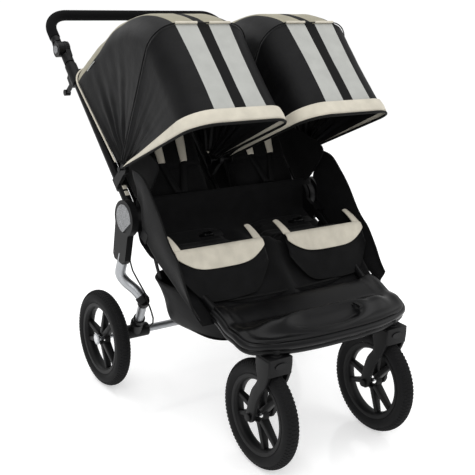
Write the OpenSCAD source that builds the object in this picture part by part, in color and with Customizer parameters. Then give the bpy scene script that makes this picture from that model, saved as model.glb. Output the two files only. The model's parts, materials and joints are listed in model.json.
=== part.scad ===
// Side-by-side double jogging stroller with two hoods, a three-way side hinge, swivel front wheels
// and a foot tray. Units are millimetres, +Z is up, the stroller faces -Y and stands on Z = 0.
// Lengths along Y are measured from the fold shaft and moved by y0, which centres the whole on Y.

/* [Wheels] */
// Outer radius of every tyre
tyre_r = 152.5; // [130:0.5:170]
// Width of every tyre
tyre_w = 45; // [36:1:50]
// Radius of every wheel axle
axle_r = 6; // [5:0.5:7]
// Distance of the rear wheels from the middle plane
rear_track = 343; // [335:1:370]
// Distance of the front wheels from the middle plane
front_track = 205; // [180:1:215]
// Distance of the rear axle behind the fold shaft
rear_axle_y = 138.5; // [120:0.5:160]
// Distance of the front axles ahead of the fold shaft
front_axle_y = 508.5; // [480:0.5:540]
// Trail of the swivelling front wheels
trail = 46; // [35:1:60]
// Number of spoke pairs in a wheel
spoke_pairs = 3; // [3:1:5]

/* [Frame] */
// Height of the fold shaft
shaft_z = 580; // [560:1:620]
// Radius of the fold shaft
shaft_r = 8; // [7:0.5:10]
// Slope of the push tubes
push_angle = 42; // [38:1:48]
// Distance from the fold shaft to the handlebar hinge
push_len = 640; // [600:1:760]
// Reach of the handlebar beyond its hinge
handle_len = 145; // [120:1:175]
// Diameter of the push tubes
push_d = 28; // [24:1:29]
// Diameter of the front side tubes
side_d = 25; // [20:1:26]
// Diameter of the rear leg tubes
leg_d = 30; // [24:1:30]
// Wall of every tube
tube_wall = 1.6; // [1.2:0.1:2.5]
// Diameter of the strut between the hoods
strut_d = 14; // [12:1:16]
// Drop of the front side tubes for each millimetre ahead
side_drop = 0.475; // [0.45:0.005:0.49]
// Radius of the outer hinge covers
hub_r = 54; // [50:1:58]
// Radius of the foam grip
grip_r = 17; // [14:0.5:18]
// Bend radius of the handlebar
handle_bend = 70; // [50:1:90]

/* [Hoods] */
// Half of one hood's width, outside
hood_half = 160; // [150:1:162]
// Length of a hood's ridge bow from its pivot
hood_len = 456; // [430:1:470]
// Thickness of the hood panels
hood_wall = 2; // [1.5:0.1:2.4]

/* [Seats] */
// Inner edge of a seat from the middle plane
seat_in = 40; // [38:1:60]
// Outer edge of a seat from the middle plane
seat_out = 285; // [260:1:286]
// Outer side of a seat ahead of the frame's hinge, from the middle plane
seat_wide = 320; // [300:1:325]
// Length of a seat back
back_len = 415; // [380:1:430]
// Slope of a seat back at rest
back_angle = 56; // [52:1:62]
// Thickness of a seat back cushion
back_t = 26; // [18:1:32]

/* [Tray and basket] */
// Half of the foot tray's width
tray_half = 283; // [270:1:300]
// Front edge of the tray, ahead of the fold shaft
tray_front = 584; // [575:1:600]
// Rear edge of the tray, ahead of the fold shaft
tray_back = 380; // [370:1:400]
// Lowest edge of the tray
tray_low = 349; // [348.5:0.5:352]
// Half of the basket's width at the rim
basket_half = 228; // [180:1:230]
// Floor height of the basket
basket_z = 276; // [260:1:290]
// Length of the basket
basket_len = 314; // [260:1:318]

/* [Hidden] */
fn_round = 96;
run_gap = 0.05;        // radial clearance of every running fit
layer_gap = 1.5;       // side clearance between the layers of the hinge

// Layers of the side hinge, as distances from the middle plane
root_in = 288;
root_out = 300;
push_x = 316;
push_in = push_x - push_d / 2 + 4;
push_out = push_x + push_d / 2 - 1;
leg_in = push_x + push_d / 2 + layer_gap;
leg_out = leg_in + 20.5;
side_x = 318;          // side tube at the hinge
side_x_front = 250;    // side tube at its front end
side_end_y = 480;
leg_tube_x = leg_in + 5;

// Centring along Y: the handlebar is the rearmost piece and the front tyres are the foremost
rear_reach = (push_len + handle_len) * cos(push_angle) + grip_r;
front_reach = front_axle_y + tyre_r;
y0 = (front_reach - rear_reach) / 2;

rim_r = tyre_r - 39.7;
pivot_y = -(front_axle_y + trail);
crown_top = tyre_r * 2 + 40;
crown_low = tyre_r * 2 + 10;
stem_r = 10;            // swivel stem of a fork

hood_gap = 25;                          // inner side of a hood from the middle plane
hood_x = hood_gap + hood_half;          // middle of a hood
hood_pin_r = 3;
hood_boss_r = 15.5;
hood_y = 40;
hood_z = shaft_z + 135;
hood_from = 37;                         // rear edge of a hood, as a slope
hood_step = 37;                         // spread of each hood panel
hood_front = 151;                       // front edge of a hood, as a slope
hood_shoulder = 85;                     // round of a hood's shoulders
hood_layer = 3.5;                       // side step from one hood panel to the next
rear_half = hood_x - seat_in + hood_wall + 0.5; // the rear panel passes beside the seat back
hood_drop = 18;                         // step in length from one hood panel to the next

leg_drop = [30, -135];                  // foot of a leg cover from the fold shaft
leg_path = [[leg_tube_x, 27, -122], [leg_tube_x, 50, -195], [300, 15, -235], [283, -5, -264]];
strut_foot = [245, 91, shaft_z - 367];
axle_z = tyre_r;
basket_rear = 28;       // gap from the fold shaft back to the basket

function along_push(d, off = 0) =
    [d * cos(push_angle) - off * sin(push_angle), shaft_z + d * sin(push_angle) + off * cos(push_angle)];

// ---- helpers ----
module at_side(s) { if (s > 0) children(); else mirror([1, 0, 0]) children(); }
module both() { for (s = [-1, 1]) at_side(s) children(); }
module placed() translate([0, y0, 0]) children();

// A bar of diameter d from a to b
module rod(a, b, d) {
    v = b - a;
    translate(a) rotate([0, acos(v[2] / norm(v)), atan2(v[1], v[0])])
        cylinder(d = d, h = norm(v), $fn = fn_round);
}

// A hollow tube from a to b
module pipe(a, b, d, wall = tube_wall) {
    v = b - a;
    u = v / norm(v);
    difference() {
        rod(a, b, d);
        rod(a - u, b + u, d - 2 * wall);
    }
}

// A disc on an axis along X, from x1 to x2
module disc(r, x1, x2, y, z) translate([x1, y, z]) rotate([0, 90, 0])
    cylinder(r = r, h = x2 - x1, $fn = fn_round);

// A side view outline in (Y, Z), made solid from x1 to x2
module slab(x1, x2) translate([x1, 0, 0]) rotate([90, 0, 90]) linear_extrude(x2 - x1) children();

// ---- wheels, centred on the origin with the axle along X ----
module tyre_solid() color([0.07, 0.07, 0.07]) rotate([0, 90, 0])
    difference() {
        rotate_extrude($fn = fn_round) difference() {
            translate([tyre_r - tyre_w / 2, 0]) circle(d = tyre_w, $fn = 48);
            translate([0, -tyre_w]) square([rim_r + 0.2, 2 * tyre_w]);
        }
    }

module spoke(angle, lean, w) rotate([angle, 0, 0]) translate([-9, 0, 0]) rotate([lean, 0, 0])
    translate([0, -w / 2, 16]) cube([18, w, (rim_r - 11) / cos(lean) - 16]);

module rim_solid(bore, hub_half, recess) color([0.05, 0.05, 0.05]) difference() {
    union() {
        rotate([0, 90, 0]) rotate_extrude($fn = fn_round) polygon([
            [rim_r - 15, -13], [rim_r - 9, -17.5], [rim_r, -17.5], [rim_r, -13], [rim_r - 5, -9],
            [rim_r - 5, 9], [rim_r, 13], [rim_r, 17.5], [rim_r - 9, 17.5], [rim_r - 15, 13]]);
        disc(24, -hub_half, hub_half, 0, 0);
        for (k = [0 : spoke_pairs - 1], lean = [-17, 17])
            spoke(360 / spoke_pairs * k - 95 + lean * 0.4, lean, 15);
    }
    disc(bore, -60, 60, 0, 0);
    if (recess > 0) disc(13, hub_half - recess, hub_half + 1, 0, 0);
}

// ---- front frame ----
side_start = [side_x - 8, -62, shaft_z - 62 * side_drop];
side_end = [side_x_front, -side_end_y, shaft_z - side_end_y * side_drop];
module side_tube() color("black") pipe(side_start, side_end, side_d);
module side_tube_room(gap) rod(side_start, side_end, side_d + 2 * gap);

module front_cross_tube() color("black") let(y = 262) difference() {
    disc(11, -side_x, side_x, -y, shaft_z - y * side_drop);
    disc(9.4, -side_x - 1, side_x + 1, -y, shaft_z - y * side_drop);
    both() side_tube_room(0);
    both() disc(60, side_x - 36, side_x + 1, -y, shaft_z - y * side_drop);
}

module hub_bracket() color([0.1, 0.1, 0.1]) difference() {
    union() {
        disc(46, root_in, root_out, 0, shaft_z);
        slab(root_in, root_out) translate([0, shaft_z]) rotate(180 + atan(side_drop))
            translate([0, -20]) square([100, 40]);
        slab(root_out - 1, side_x + 8) translate([0, shaft_z]) rotate(180 + atan(side_drop))
            translate([66, -17]) square([34, 34]);
    }
    disc(shaft_r, root_in - 1, root_out + 1, 0, shaft_z);
    side_tube_room(0);
}

module fold_shaft() color([0.7, 0.7, 0.72]) disc(shaft_r, -(leg_in + 14), leg_in + 14, 0, shaft_z);

module caster_housing() color([0.06, 0.06, 0.06]) difference() {
    union() {
        translate([front_track, pivot_y, crown_top + 2]) cylinder(r = stem_r + 4.5, h = 26, $fn = fn_round);
        rod([front_track, pivot_y + 2, crown_top + 14],
            [side_x_front, -(side_end_y - 24), shaft_z - (side_end_y - 24) * side_drop - 4], 27);
    }
    translate([front_track, pivot_y, crown_top]) cylinder(r = stem_r + run_gap, h = 24, $fn = fn_round);
    translate([front_track, pivot_y, 0]) cylinder(r = 60, h = crown_top + 2, $fn = fn_round);
    side_tube_room(0);
}

// Foot tray: a moulded shell given by a height over its plan, with a skirt all round.
tray_nu = 36;
tray_nv = 22;
tray_wall = 4;
tray_lip = 16;          // rise of the front lip over the plan's lowest part
function smooth(t) = let(c = min(1, max(0, t))) c * c * (3 - 2 * c);
function tray_half_at(v) = tray_half * sqrt(1 - 0.42 * pow(max(0, (v - 0.5) / 0.5), 4));
function tray_y(u, v) = -tray_back - (tray_front - tray_back - 26 * pow(abs(u), 3)) * v;
function tray_z(u, v) = tray_low + 14 + 52 * (1 - smooth(v * 1.15)) + tray_lip * smooth((v - 0.35) / 0.3)
    + (40 - tray_lip) * exp(-pow((v - 0.66) / 0.15, 2)) * (1 - smooth((abs(u) - 0.62) / 0.3))
    + 12 * smooth((abs(u) - 0.8) / 0.15) * (1 - v);
function tray_point(i, j, t) =
    let(edge = i == 0 || i == tray_nu || j == 0 || j == tray_nv,
        u = max(-1, min(1, 2 * (i - 1) / (tray_nu - 2) - 1)), v = max(0, min(1, (j - 1) / (tray_nv - 2))),
        k = 1 - t / tray_half, m = t * (1 - 2 * v))
    [u * tray_half_at(v) * k, tray_y(u, v) - m, edge ? tray_low + (v < 0.3 ? 10 * (1 - v / 0.3) : 0)
        : tray_z(u, v) - t];
module foot_tray() color([0.09, 0.09, 0.1]) difference() {
    tray_shell();
    both() {
        side_tube_room(0.3);
        translate([front_track, pivot_y, 0]) cylinder(r = stem_r + 5, h = crown_top + 28.5, $fn = fn_round);
    }
    translate(latch_at) cylinder(r = latch_r + run_gap, h = 60, center = true, $fn = fn_round);
}
module tray_shell() {
    n = tray_nu + 1;
    m = tray_nv + 1;
    pts = [for (t = [0, tray_wall], j = [0 : tray_nv], i = [0 : tray_nu]) tray_point(i, j, t)];
    cells = [for (j = [0 : tray_nv - 1], i = [0 : tray_nu - 1]) j * n + i];
    rim = concat([for (i = [0 : tray_nu - 1]) i], [for (j = [0 : tray_nv - 1]) j * n + tray_nu],
        [for (i = [tray_nu : -1 : 1]) tray_nv * n + i], [for (j = [tray_nv : -1 : 1]) j * n]);
    nr = len(rim);
    polyhedron(pts, concat(
        [for (c = cells) [c, c + 1, c + n]], [for (c = cells) [c + 1, c + n + 1, c + n]],
        [for (c = cells) [c + n * m, c + n + n * m, c + 1 + n * m]],
        [for (c = cells) [c + 1 + n * m, c + n + n * m, c + n + 1 + n * m]],
        [for (k = [0 : nr - 1]) let(a = rim[k], b = rim[(k + 1) % nr]) [a, a + n * m, b]],
        [for (k = [0 : nr - 1]) let(a = rim[k], b = rim[(k + 1) % nr]) [b, a + n * m, b + n * m]]));
}

// Turning latch on the tray's ridge
latch_at = [92, -(tray_front - 62), tray_low + 50];
latch_r = 13;
module tray_latch() color([0.13, 0.13, 0.14]) translate(latch_at) {
    cylinder(r = latch_r, h = 18, $fn = fn_round);
    translate([-6, -24, 14]) cube([12, 48, 8]);
}

// Basket: an open-topped bag of constant wall
module basket() color([0.05, 0.05, 0.05]) difference() {
    basket_form(0);
    basket_form(3);
}
module basket_form(t) {
    top = basket_z + 140;
    translate([0, 0, t]) rotate([90, 0, 0]) translate([0, 0, basket_rear + t]) linear_extrude(basket_len - 2 * t)
        polygon([[-basket_half + 26 + t, basket_z], [basket_half - 26 - t, basket_z],
            [basket_half - t, top + t], [-basket_half + t, top + t]]);
}

// Seats: one fabric sling across both places, and a pad with a hanging flap on each
seat_line = [[-34, -46], [-70, -70], [-130, -78], [-228, -44], [-250, -56], [-284, -100], [-314, -148]];
wide_from = 175;        // the seats widen this far ahead of the fold shaft
module seat_slab(x_in) {
    slab(x_in, seat_out) translate([0, shaft_z]) children();
    slab(seat_out - 1, seat_wide) intersection() {
        translate([0, shaft_z]) children();
        translate([-wide_from - 300, shaft_z - 300]) square([300, 400]);
    }
}
module seat_base() color([0.05, 0.05, 0.05]) difference() {
    both() seat_slab(-1)
        polygon(concat(seat_line, [for (k = [len(seat_line) - 1 : -1 : 0]) seat_line[k] + [4, -7]]));
    both() side_tube_room(1);
}
module seat_pads() color([0.06, 0.06, 0.06]) both() difference() {
    seat_pad();
    side_tube_room(1);
}
module seat_pad() seat_slab(seat_in)
    polygon([[-38, -34], [-72, -50], [-130, -56], [-226, -20], [-244, -22], [-262, -44], [-328, -146],
        [-317, -147], [-286.5, -98.5], [-252.5, -54.5], [-229.5, -41.5], [-130, -76], [-70.5, -68],
        [-35.5, -45.5]]);

// Fabric wings between the frame tubes: the lower one stays with the seat, the upper one folds
wing_t = 3;
module side_wing() color([0.07, 0.07, 0.07]) slab(seat_wide + 0.5, seat_wide + 0.5 + wing_t)
    translate([0, shaft_z]) polygon([[-52, -52 * side_drop + 20], [-375, -375 * side_drop + 20],
        [-352, -115], [-340, -84], [-316, -40], [-263, 2], [-215, 63], [-170, 113], [-120, 153],
        [-82, 161], [-58, 155]]);
module upper_wing() color([0.07, 0.07, 0.07]) slab(root_out - wing_t - 1, root_out - 1) polygon([
    along_push(64, 13), along_push(400, 13), along_push(396, 60), along_push(300, 120),
    [90, shaft_z + 216], [0, shaft_z + 206], [-98, shaft_z + 172], [-74, shaft_z + 110],
    [-32, shaft_z + 62]]);

module harness_buckle() color([0.03, 0.03, 0.03]) let(x = (seat_in + seat_out) / 2) {
    translate([x - 22, -176, shaft_z - 38]) rotate([-20.5, 0, 0]) cube([44, 40, 12]);
}

// ---- push frame ----
module push_tube() color("black") difference() {
    union() {
        rod([push_x, along_push(30)[0], along_push(30)[1]],
            [push_x, along_push(push_len - 26)[0], along_push(push_len - 26)[1]], push_d);
        disc(45, push_in, push_out, 0, shaft_z);
    }
    rod([push_x, along_push(60)[0], along_push(60)[1]],
        [push_x, along_push(push_len)[0], along_push(push_len)[1]], push_d - 2 * tube_wall);
    disc(shaft_r + run_gap, push_in - 10, push_out + 10, 0, shaft_z);
}

module upper_cross_bar() color("black") let(p = along_push(545))
    difference() {
        disc(11, -push_x, push_x, p[0], p[1]);
        disc(9.4, -push_x - 1, push_x + 1, p[0], p[1]);
        both() rod([push_x, along_push(100)[0], along_push(100)[1]],
            [push_x, along_push(push_len)[0], along_push(push_len)[1]], push_d);
    }

module centre_strut() color("black") difference() {
    union() {
        rod([0, along_push(10)[0], along_push(10)[1]], [0, along_push(536)[0], along_push(536)[1]], strut_d);
        disc(16, -9, 9, 0, shaft_z);
        disc(13, -(seat_in - 0.5), seat_in - 0.5, 0, shaft_z);
    }
    disc(shaft_r + run_gap, -seat_in, seat_in, 0, shaft_z);
    disc(11, -12, 12, along_push(545)[0], along_push(545)[1]);
}

module handle_knuckle() color([0.05, 0.05, 0.05]) let(p = along_push(push_len)) difference() {
    union() {
        disc(25, push_x - 12, push_x + 5, p[0], p[1]);
        slab(push_x - 12, push_x + 5) polygon([along_push(push_len - 40, 16), along_push(push_len, 22),
            along_push(push_len, -22), along_push(push_len - 40, -16)]);
        rod([push_x, along_push(push_len - 58)[0], along_push(push_len - 58)[1]],
            [push_x, along_push(push_len - 26)[0], along_push(push_len - 26)[1]], push_d + 5);
        disc(5, push_x + 4, push_x + 17, p[0], p[1]);
    }
    rod([push_x, along_push(100)[0], along_push(100)[1]],
        [push_x, along_push(push_len - 26)[0], along_push(push_len - 26)[1]], push_d);
}

// Hood clip: a sleeve on a tube and an arm that holds the hood's pin
hood_along = hood_y * cos(push_angle) + (hood_z - shaft_z) * sin(push_angle);
hood_above = (hood_z - shaft_z) * cos(push_angle) - hood_y * sin(push_angle);
module clip(x, d, arm_in, arm_out) difference() {
    union() {
        rod([x, along_push(hood_along - 18)[0], along_push(hood_along - 18)[1]],
            [x, along_push(hood_along + 18)[0], along_push(hood_along + 18)[1]], d + 8);
        slab(arm_in, arm_out) polygon([along_push(hood_along - 15), along_push(hood_along + 15),
            along_push(hood_along + 12, hood_above), along_push(hood_along - 12, hood_above)]);
        disc(hood_boss_r, arm_in, arm_out, hood_y, hood_z);
    }
    rod([x, along_push(60)[0], along_push(60)[1]], [x, along_push(200)[0], along_push(200)[1]], d);
}

module canopy_clips() color([0.05, 0.05, 0.05]) {
    both() clip(push_x, push_d, push_x + 6, push_out + 5);
    clip(0, strut_d, -6, 6);
}
module hood_pins() color([0.1, 0.1, 0.1]) both() {
    disc(hood_pin_r, push_out + 5, hood_x + hood_half + 2, hood_y, hood_z);
    disc(8, hood_x + hood_half + 0.5, hood_x + hood_half + 3, hood_y, hood_z);
    disc(hood_pin_r, 6, hood_x - rear_half + hood_wall, hood_y, hood_z);
    disc(hood_boss_r, hood_x - rear_half, hood_x - rear_half + hood_wall, hood_y, hood_z);
}

module brake_housing() color([0.05, 0.05, 0.05]) mirror([1, 0, 0]) difference() {
    union() {
        rod([push_x, along_push(500)[0], along_push(500)[1]],
            [push_x, along_push(572)[0], along_push(572)[1]], push_d + 10);
        slab(push_x - 16, push_x + 4) polygon([along_push(508, -10), along_push(566, -10),
            along_push(560, -44), along_push(520, -48)]);
    }
    rod([push_x, along_push(480)[0], along_push(480)[1]],
        [push_x, along_push(590)[0], along_push(590)[1]], push_d);
    disc(11 + 0.2, push_x - 30, push_x - 5, along_push(545)[0], along_push(545)[1]);
    disc(22, push_x - 12, push_x, along_push(540, -44)[0], along_push(540, -44)[1]);
    disc(3, push_x - 18, push_x + 6, along_push(540, -36)[0], along_push(540, -36)[1]);
}

module brake_lever() color([0.04, 0.04, 0.04]) mirror([1, 0, 0]) let(p = along_push(540, -36)) {
    disc(3 - run_gap, push_x - 16, push_x + 4, p[0], p[1]);
    disc(9, push_x - 11, push_x - 1, p[0], p[1]);
    slab(push_x - 11, push_x - 1) polygon([p + [6, -4], p + [40, -34], p + [36, -46], p + [-6, -8]]);
    disc(10, push_x - 15, push_x + 3, p[0] + 42, p[1] - 42);
}

// ---- handlebar, drawn in its own plane: X across, Y along the push tubes, hinge on the X axis ----
bar_x = push_x + 14;
module bar_path(d, from_y, half) {
    both() {
        translate([bar_x, from_y, 0]) rotate([-90, 0, 0])
            cylinder(d = d, h = handle_len - handle_bend - from_y, $fn = fn_round);
        translate([bar_x - handle_bend, handle_len - handle_bend, 0])
            rotate_extrude(angle = 90, $fn = fn_round) translate([handle_bend, 0]) circle(d = d, $fn = 48);
    }
    translate([-half, handle_len, 0]) rotate([0, 90, 0]) cylinder(d = d, h = 2 * half, $fn = fn_round);
}
module in_handle_plane() translate([0, along_push(push_len)[0], along_push(push_len)[1]])
    rotate([push_angle, 0, 0]) children();

module handlebar_tube() color([0.08, 0.08, 0.08]) difference() {
    union() {
        in_handle_plane() bar_path(22, 26, bar_x - handle_bend);
        both() disc(24, push_x + 5.6, push_x + 26, along_push(push_len)[0], along_push(push_len)[1]);
        in_handle_plane() both() {
            translate([bar_x, 27, 0]) rotate([-90, 0, 0]) cylinder(d = 30, h = 20, $fn = fn_round);
            translate([push_x + 5.6, 0, -12]) cube([20, 30, 24]);
        }
    }
    both() disc(5 + run_gap, push_x, push_x + 17.5, along_push(push_len)[0], along_push(push_len)[1]);
    both() disc(12 + run_gap, push_x + 20, push_x + 30, along_push(push_len)[0], along_push(push_len)[1]);
}
module foam_grip() color([0.03, 0.03, 0.03]) in_handle_plane() difference() {
    bar_path(2 * grip_r, 48, bar_x - handle_bend);
    bar_path(22, 40, bar_x - handle_bend);
}
module handle_button() color([0.35, 0.35, 0.36]) let(p = along_push(push_len)) difference() {
    disc(12, push_x + 23, push_x + 29, p[0], p[1]);
    disc(4, push_x + 28, push_x + 31, p[0], p[1]);
}

// ---- rear leg ----
module leg_cover() color([0.07, 0.07, 0.07]) difference() {
    slab(leg_in, leg_out) translate([0, shaft_z]) {
        circle(r = hub_r, $fn = fn_round);
        polygon([[-27, -40], [-10, -128], [4, -142], [54, -136], [63, -122], [50, -20]]);
    }
    disc(shaft_r + run_gap, leg_in - 1, leg_in + 15, 0, shaft_z);
    disc(42, leg_out - 2, leg_out + 1, 0, shaft_z);
    translate([0, 0, shaft_z]) rod(leg_path[0], leg_path[1], leg_d);
}

module hub_badge() color([0.55, 0.55, 0.56]) slab(leg_out - 2, leg_out + 1.2) translate([0, shaft_z])
    difference() {
        circle(r = 41.5, $fn = fn_round);
        rotate(-40) translate([-60, -80]) square([120, 50]);
    }

module leg_tube() color([0.72, 0.73, 0.75]) translate([0, 0, shaft_z]) union() {
    for (k = [0 : 2]) rod(leg_path[k], leg_path[k + 1], leg_d);
    for (k = [1 : 2]) translate(leg_path[k]) sphere(d = leg_d, $fn = fn_round);
}

module strut_axis(d, from, to) let(a = leg_path[3] + [0, 0, shaft_z], v = (strut_foot - a) / norm(strut_foot - a))
    rod(a + from * v, a + to * v, d);
strut_len = norm(strut_foot - leg_path[3] - [0, 0, shaft_z]);
module suspension_strut() color([0.72, 0.73, 0.75]) strut_axis(27, 20, strut_len + 24);

module axle_fitting() color([0.06, 0.06, 0.06]) difference() {
    union() {
        translate([0, 0, shaft_z]) rod(leg_path[3] - (leg_path[3] - leg_path[2]) * 0.45, leg_path[3] +
            (leg_path[3] - leg_path[2]) * 0.12, leg_d + 7);
        strut_axis(35, 0, 22);
        strut_axis(37, strut_len - 8, strut_len + 32);
        disc(22, 190, 300, rear_axle_y, axle_z);
        rod(strut_foot + [0, 12, -14], [232, rear_axle_y, axle_z], 40);
    }
    translate([0, 0, shaft_z]) rod(leg_path[2], leg_path[3], leg_d);
    strut_axis(27, 20, strut_len + 24);
    disc(12, 180, 230, rear_axle_y, axle_z);
    disc(axle_r, 228, 310, rear_axle_y, axle_z);
}

module axle_tube() color([0.72, 0.73, 0.75]) {
    difference() {
        disc(12, -229.9, 229.9, rear_axle_y, axle_z);
        disc(10, -228, 228, rear_axle_y, axle_z);
        both() disc(axle_r, 227, 231, rear_axle_y, axle_z);
    }
    both() disc(axle_r, 229, rear_track + 12, rear_axle_y, axle_z);
}

// The brake cable of the right leg, from the foot of the leg cover to the axle fitting
cable_points = [[-318, 20, 440], [-312, 14, 410], [-300, 2, 380], [-292, -22, 352], [-286, -34, 322],
    [-276, -38, 292], [-262, -26, 262], [-244, 6, 232], [-226, 48, 204], [-214, 84, 184], [-208, 112, 172]];
cable_d = 5;
cable_sides = 8;
function cable_dir(k) = let(a = cable_points[max(0, k - 1)], b = cable_points[min(len(cable_points) - 1, k + 1)])
    (b - a) / norm(b - a);
function cable_ring(k) = let(t = cable_dir(k), n = cross(t, [1, 0, 0]), u = n / norm(n), w = cross(t, u))
    [for (a = [0 : cable_sides - 1]) cable_points[k] + cable_d / 2 *
        (cos(360 * a / cable_sides) * u + sin(360 * a / cable_sides) * w)];
module brake_cable() color([0.03, 0.03, 0.03]) {
    n = len(cable_points);
    s = cable_sides;
    polyhedron([for (k = [0 : n - 1]) each cable_ring(k)], concat([[for (a = [0 : s - 1]) a]],
        [for (k = [0 : n - 2], a = [0 : s - 1]) [k * s + a, (k + 1) * s + a, (k + 1) * s + (a + 1) % s,
            k * s + (a + 1) % s]],
        [[for (a = [s - 1 : -1 : 0]) (n - 1) * s + a]]));
}

// ---- wheels in place ----
module rear_tyre() translate([rear_track, rear_axle_y, axle_z]) tyre_solid();
module rear_rim() translate([rear_track, rear_axle_y, axle_z]) rim_solid(axle_r + run_gap, 26, 12);
module rear_release() color([0.75, 0.75, 0.77]) disc(13 - 0.3, rear_track + 17, rear_track + 28, rear_axle_y,
    axle_z);
module front_tyre() translate([front_track, -front_axle_y, axle_z]) tyre_solid();
module front_rim() translate([front_track, -front_axle_y, axle_z]) rim_solid(axle_r + run_gap, 24, 0);
module front_axle() color([0.6, 0.6, 0.62]) {
    disc(axle_r, front_track - 44, front_track + 44, -front_axle_y, axle_z);
}

// ---- swivel fork ----
fork_in = 27;
fork_out = 39;
module fork() color([0.06, 0.06, 0.065]) difference() {
    union() {
        for (s = [-1, 1]) slab(s < 0 ? front_track - fork_out : front_track + fork_in,
            s < 0 ? front_track - fork_in : front_track + fork_out) {
            polygon([[pivot_y - 28, crown_top], [pivot_y - 30, crown_low - 10], [pivot_y - 12, crown_low - 70],
                [-front_axle_y - 20, axle_z - 4], [-front_axle_y + 19, axle_z + 10],
                [pivot_y + 30, crown_low - 30], [pivot_y + 36, crown_top]]);
            translate([-front_axle_y, axle_z]) circle(r = 21, $fn = fn_round);
        }
        difference() {
            slab(front_track - fork_out, front_track + fork_out) polygon([[pivot_y - 28, crown_top],
                [pivot_y - 30, crown_low - 10], [pivot_y - 22, crown_low - 22], [pivot_y + 36, crown_low - 4],
                [pivot_y + 36, crown_top]]);
            disc(tyre_r + 7, front_track - 60, front_track + 60, -front_axle_y, axle_z);
        }
        translate([front_track, pivot_y, crown_top - 2]) cylinder(r = stem_r, h = 25, $fn = fn_round);
    }
    disc(axle_r, front_track - 60, front_track + 60, -front_axle_y, axle_z);
    translate([front_track, pivot_y - 20, crown_low + 6]) rotate([90, 0, 0])
        scale([1.9, 1, 1]) cylinder(r = 9, h = 20, $fn = fn_round);
}

// ---- hoods: each panel is part of a round drum about the hood's pivot, and layer 0 is outermost ----
// Outline of an arch of half width w and length l, with round shoulders
module arch(w, l, r) {
    translate([0, -w]) square([l - r, 2 * w]);
    for (s = [-1, 1]) translate([l - r, s * (w - r)]) circle(r = r, $fn = fn_round);
    translate([0, -(w - r)]) square([l, 2 * (w - r)]);
}
function half_at(layer) = layer == 2 ? rear_half : hood_half - layer * hood_layer;
module arch_band(layer, t, inner) {
    w = half_at(layer);
    l = hood_len - layer * hood_drop;
    intersection() {
        difference() {
            arch(w, l, hood_shoulder);
            translate([-1, 0]) arch(w - t, l - t + 1, hood_shoulder - t);
        }
        translate([inner, -w - 1]) square([l, 2 * w + 2]);
    }
}
module at_hood() translate([hood_x, hood_y, hood_z]) children();
module hood_panel(from, to, layer) at_hood() rotate([0, 90, 0]) rotate([0, 0, 90]) rotate([0, 0, from])
    rotate_extrude(angle = to - from, $fn = fn_round * 2) arch_band(layer, hood_wall, 34);
// A bow lies ahead of its slope, or behind it when back is set, and turns on the hood's pin
module hood_bow(slope, layer, back = 0, t = 3) let(w = half_at(layer)) at_hood()
    rotate([slope, 0, 0]) difference() {
        union() {
            rotate([0, 0, 90]) translate([0, 0, -8 * back]) linear_extrude(8) arch_band(layer, t, 0);
            for (s = [0, 1]) mirror([s, 0, 0]) disc(9, w - t, w, 0, 0);
        }
        disc(hood_pin_r + run_gap, -w - 1, w + 1, 0, 0);
    }
rear_end = hood_from + hood_step;
mid_end = rear_end + hood_step;
module canopy_rear() color([0.11, 0.11, 0.12]) {
    hood_panel(hood_from, rear_end, 2);
    difference() {
        hood_bow(hood_from, 2, 1, hood_wall);
        at_hood() disc(hood_boss_r + run_gap, -hood_half, hood_half, 0, 0);
    }
}
module canopy_mid() color([0.66, 0.64, 0.58]) hood_panel(rear_end + 0.5, mid_end, 0);
module ridge_bow() color([0.15, 0.15, 0.16]) hood_bow(mid_end, 0);
module canopy_front() color([0.8, 0.79, 0.73]) hood_panel(mid_end, hood_front, 1);
module front_bow() color([0.15, 0.15, 0.16]) hood_bow(hood_front, 1);

// ---- seat backs, drawn in their own plane: Y up the back, Z towards the child ----
module in_back_plane() translate([0, 0, shaft_z]) rotate([back_angle, 0, 0]) children();
module seat_back() color([0.06, 0.06, 0.06]) in_back_plane() difference() {
    union() {
        translate([seat_in, 30, 5]) cube([seat_out - seat_in, back_len - 30, back_t]);
        translate([seat_in, 10, -4]) cube([seat_out - seat_in, back_len - 30, 9.5]);
        disc(13, seat_in, seat_out, 0, 0);
    }
    disc(shaft_r + 0.4, seat_in - 1, seat_out + 1, 0, 0);
}
module harness() color([0.8, 0.78, 0.7]) in_back_plane() let(x = (seat_in + seat_out) / 2)
    for (s = [-1, 1]) translate([x + s * 48 - 17, 110, 5 + back_t]) cube([34, 230, 5]);

// ---- what each node draws ----
placed() both() side_tube();  // side_tubes
placed() front_cross_tube();
placed() foot_tray();
placed() tray_latch();
placed() both() caster_housing();  // caster_housings
placed() both() hub_bracket();  // hub_brackets
placed() fold_shaft();
placed() basket();
placed() seat_base();
placed() seat_pads();
placed() both() side_wing();  // side_wings
placed() both() harness_buckle();  // harness_buckles
placed() both() push_tube();  // push_tubes
placed() upper_cross_bar();
placed() centre_strut();
placed() both() handle_knuckle();  // handle_knuckles
placed() canopy_clips();
placed() hood_pins();
placed() brake_housing();
placed() both() upper_wing();  // upper_wings
placed() at_side(-1) canopy_rear();  // canopy_rear_right
placed() at_side(1) canopy_rear();  // canopy_rear_left
placed() handlebar_tube();
placed() foam_grip();
placed() at_side(-1) handle_button();  // handle_button_right
placed() at_side(1) handle_button();  // handle_button_left
placed() brake_lever();
placed() both() leg_cover();  // leg_covers
placed() both() hub_badge();  // hub_badges
placed() both() leg_tube();  // leg_tubes
placed() both() suspension_strut();  // suspension_struts
placed() both() axle_fitting();  // axle_fittings
placed() axle_tube();
placed() brake_cable();
placed() at_side(-1) rear_tyre();  // rear_tyre_right
placed() at_side(-1) rear_rim();  // rear_rim_right
placed() at_side(-1) rear_release();  // rear_release_right
placed() at_side(1) rear_tyre();  // rear_tyre_left
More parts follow.
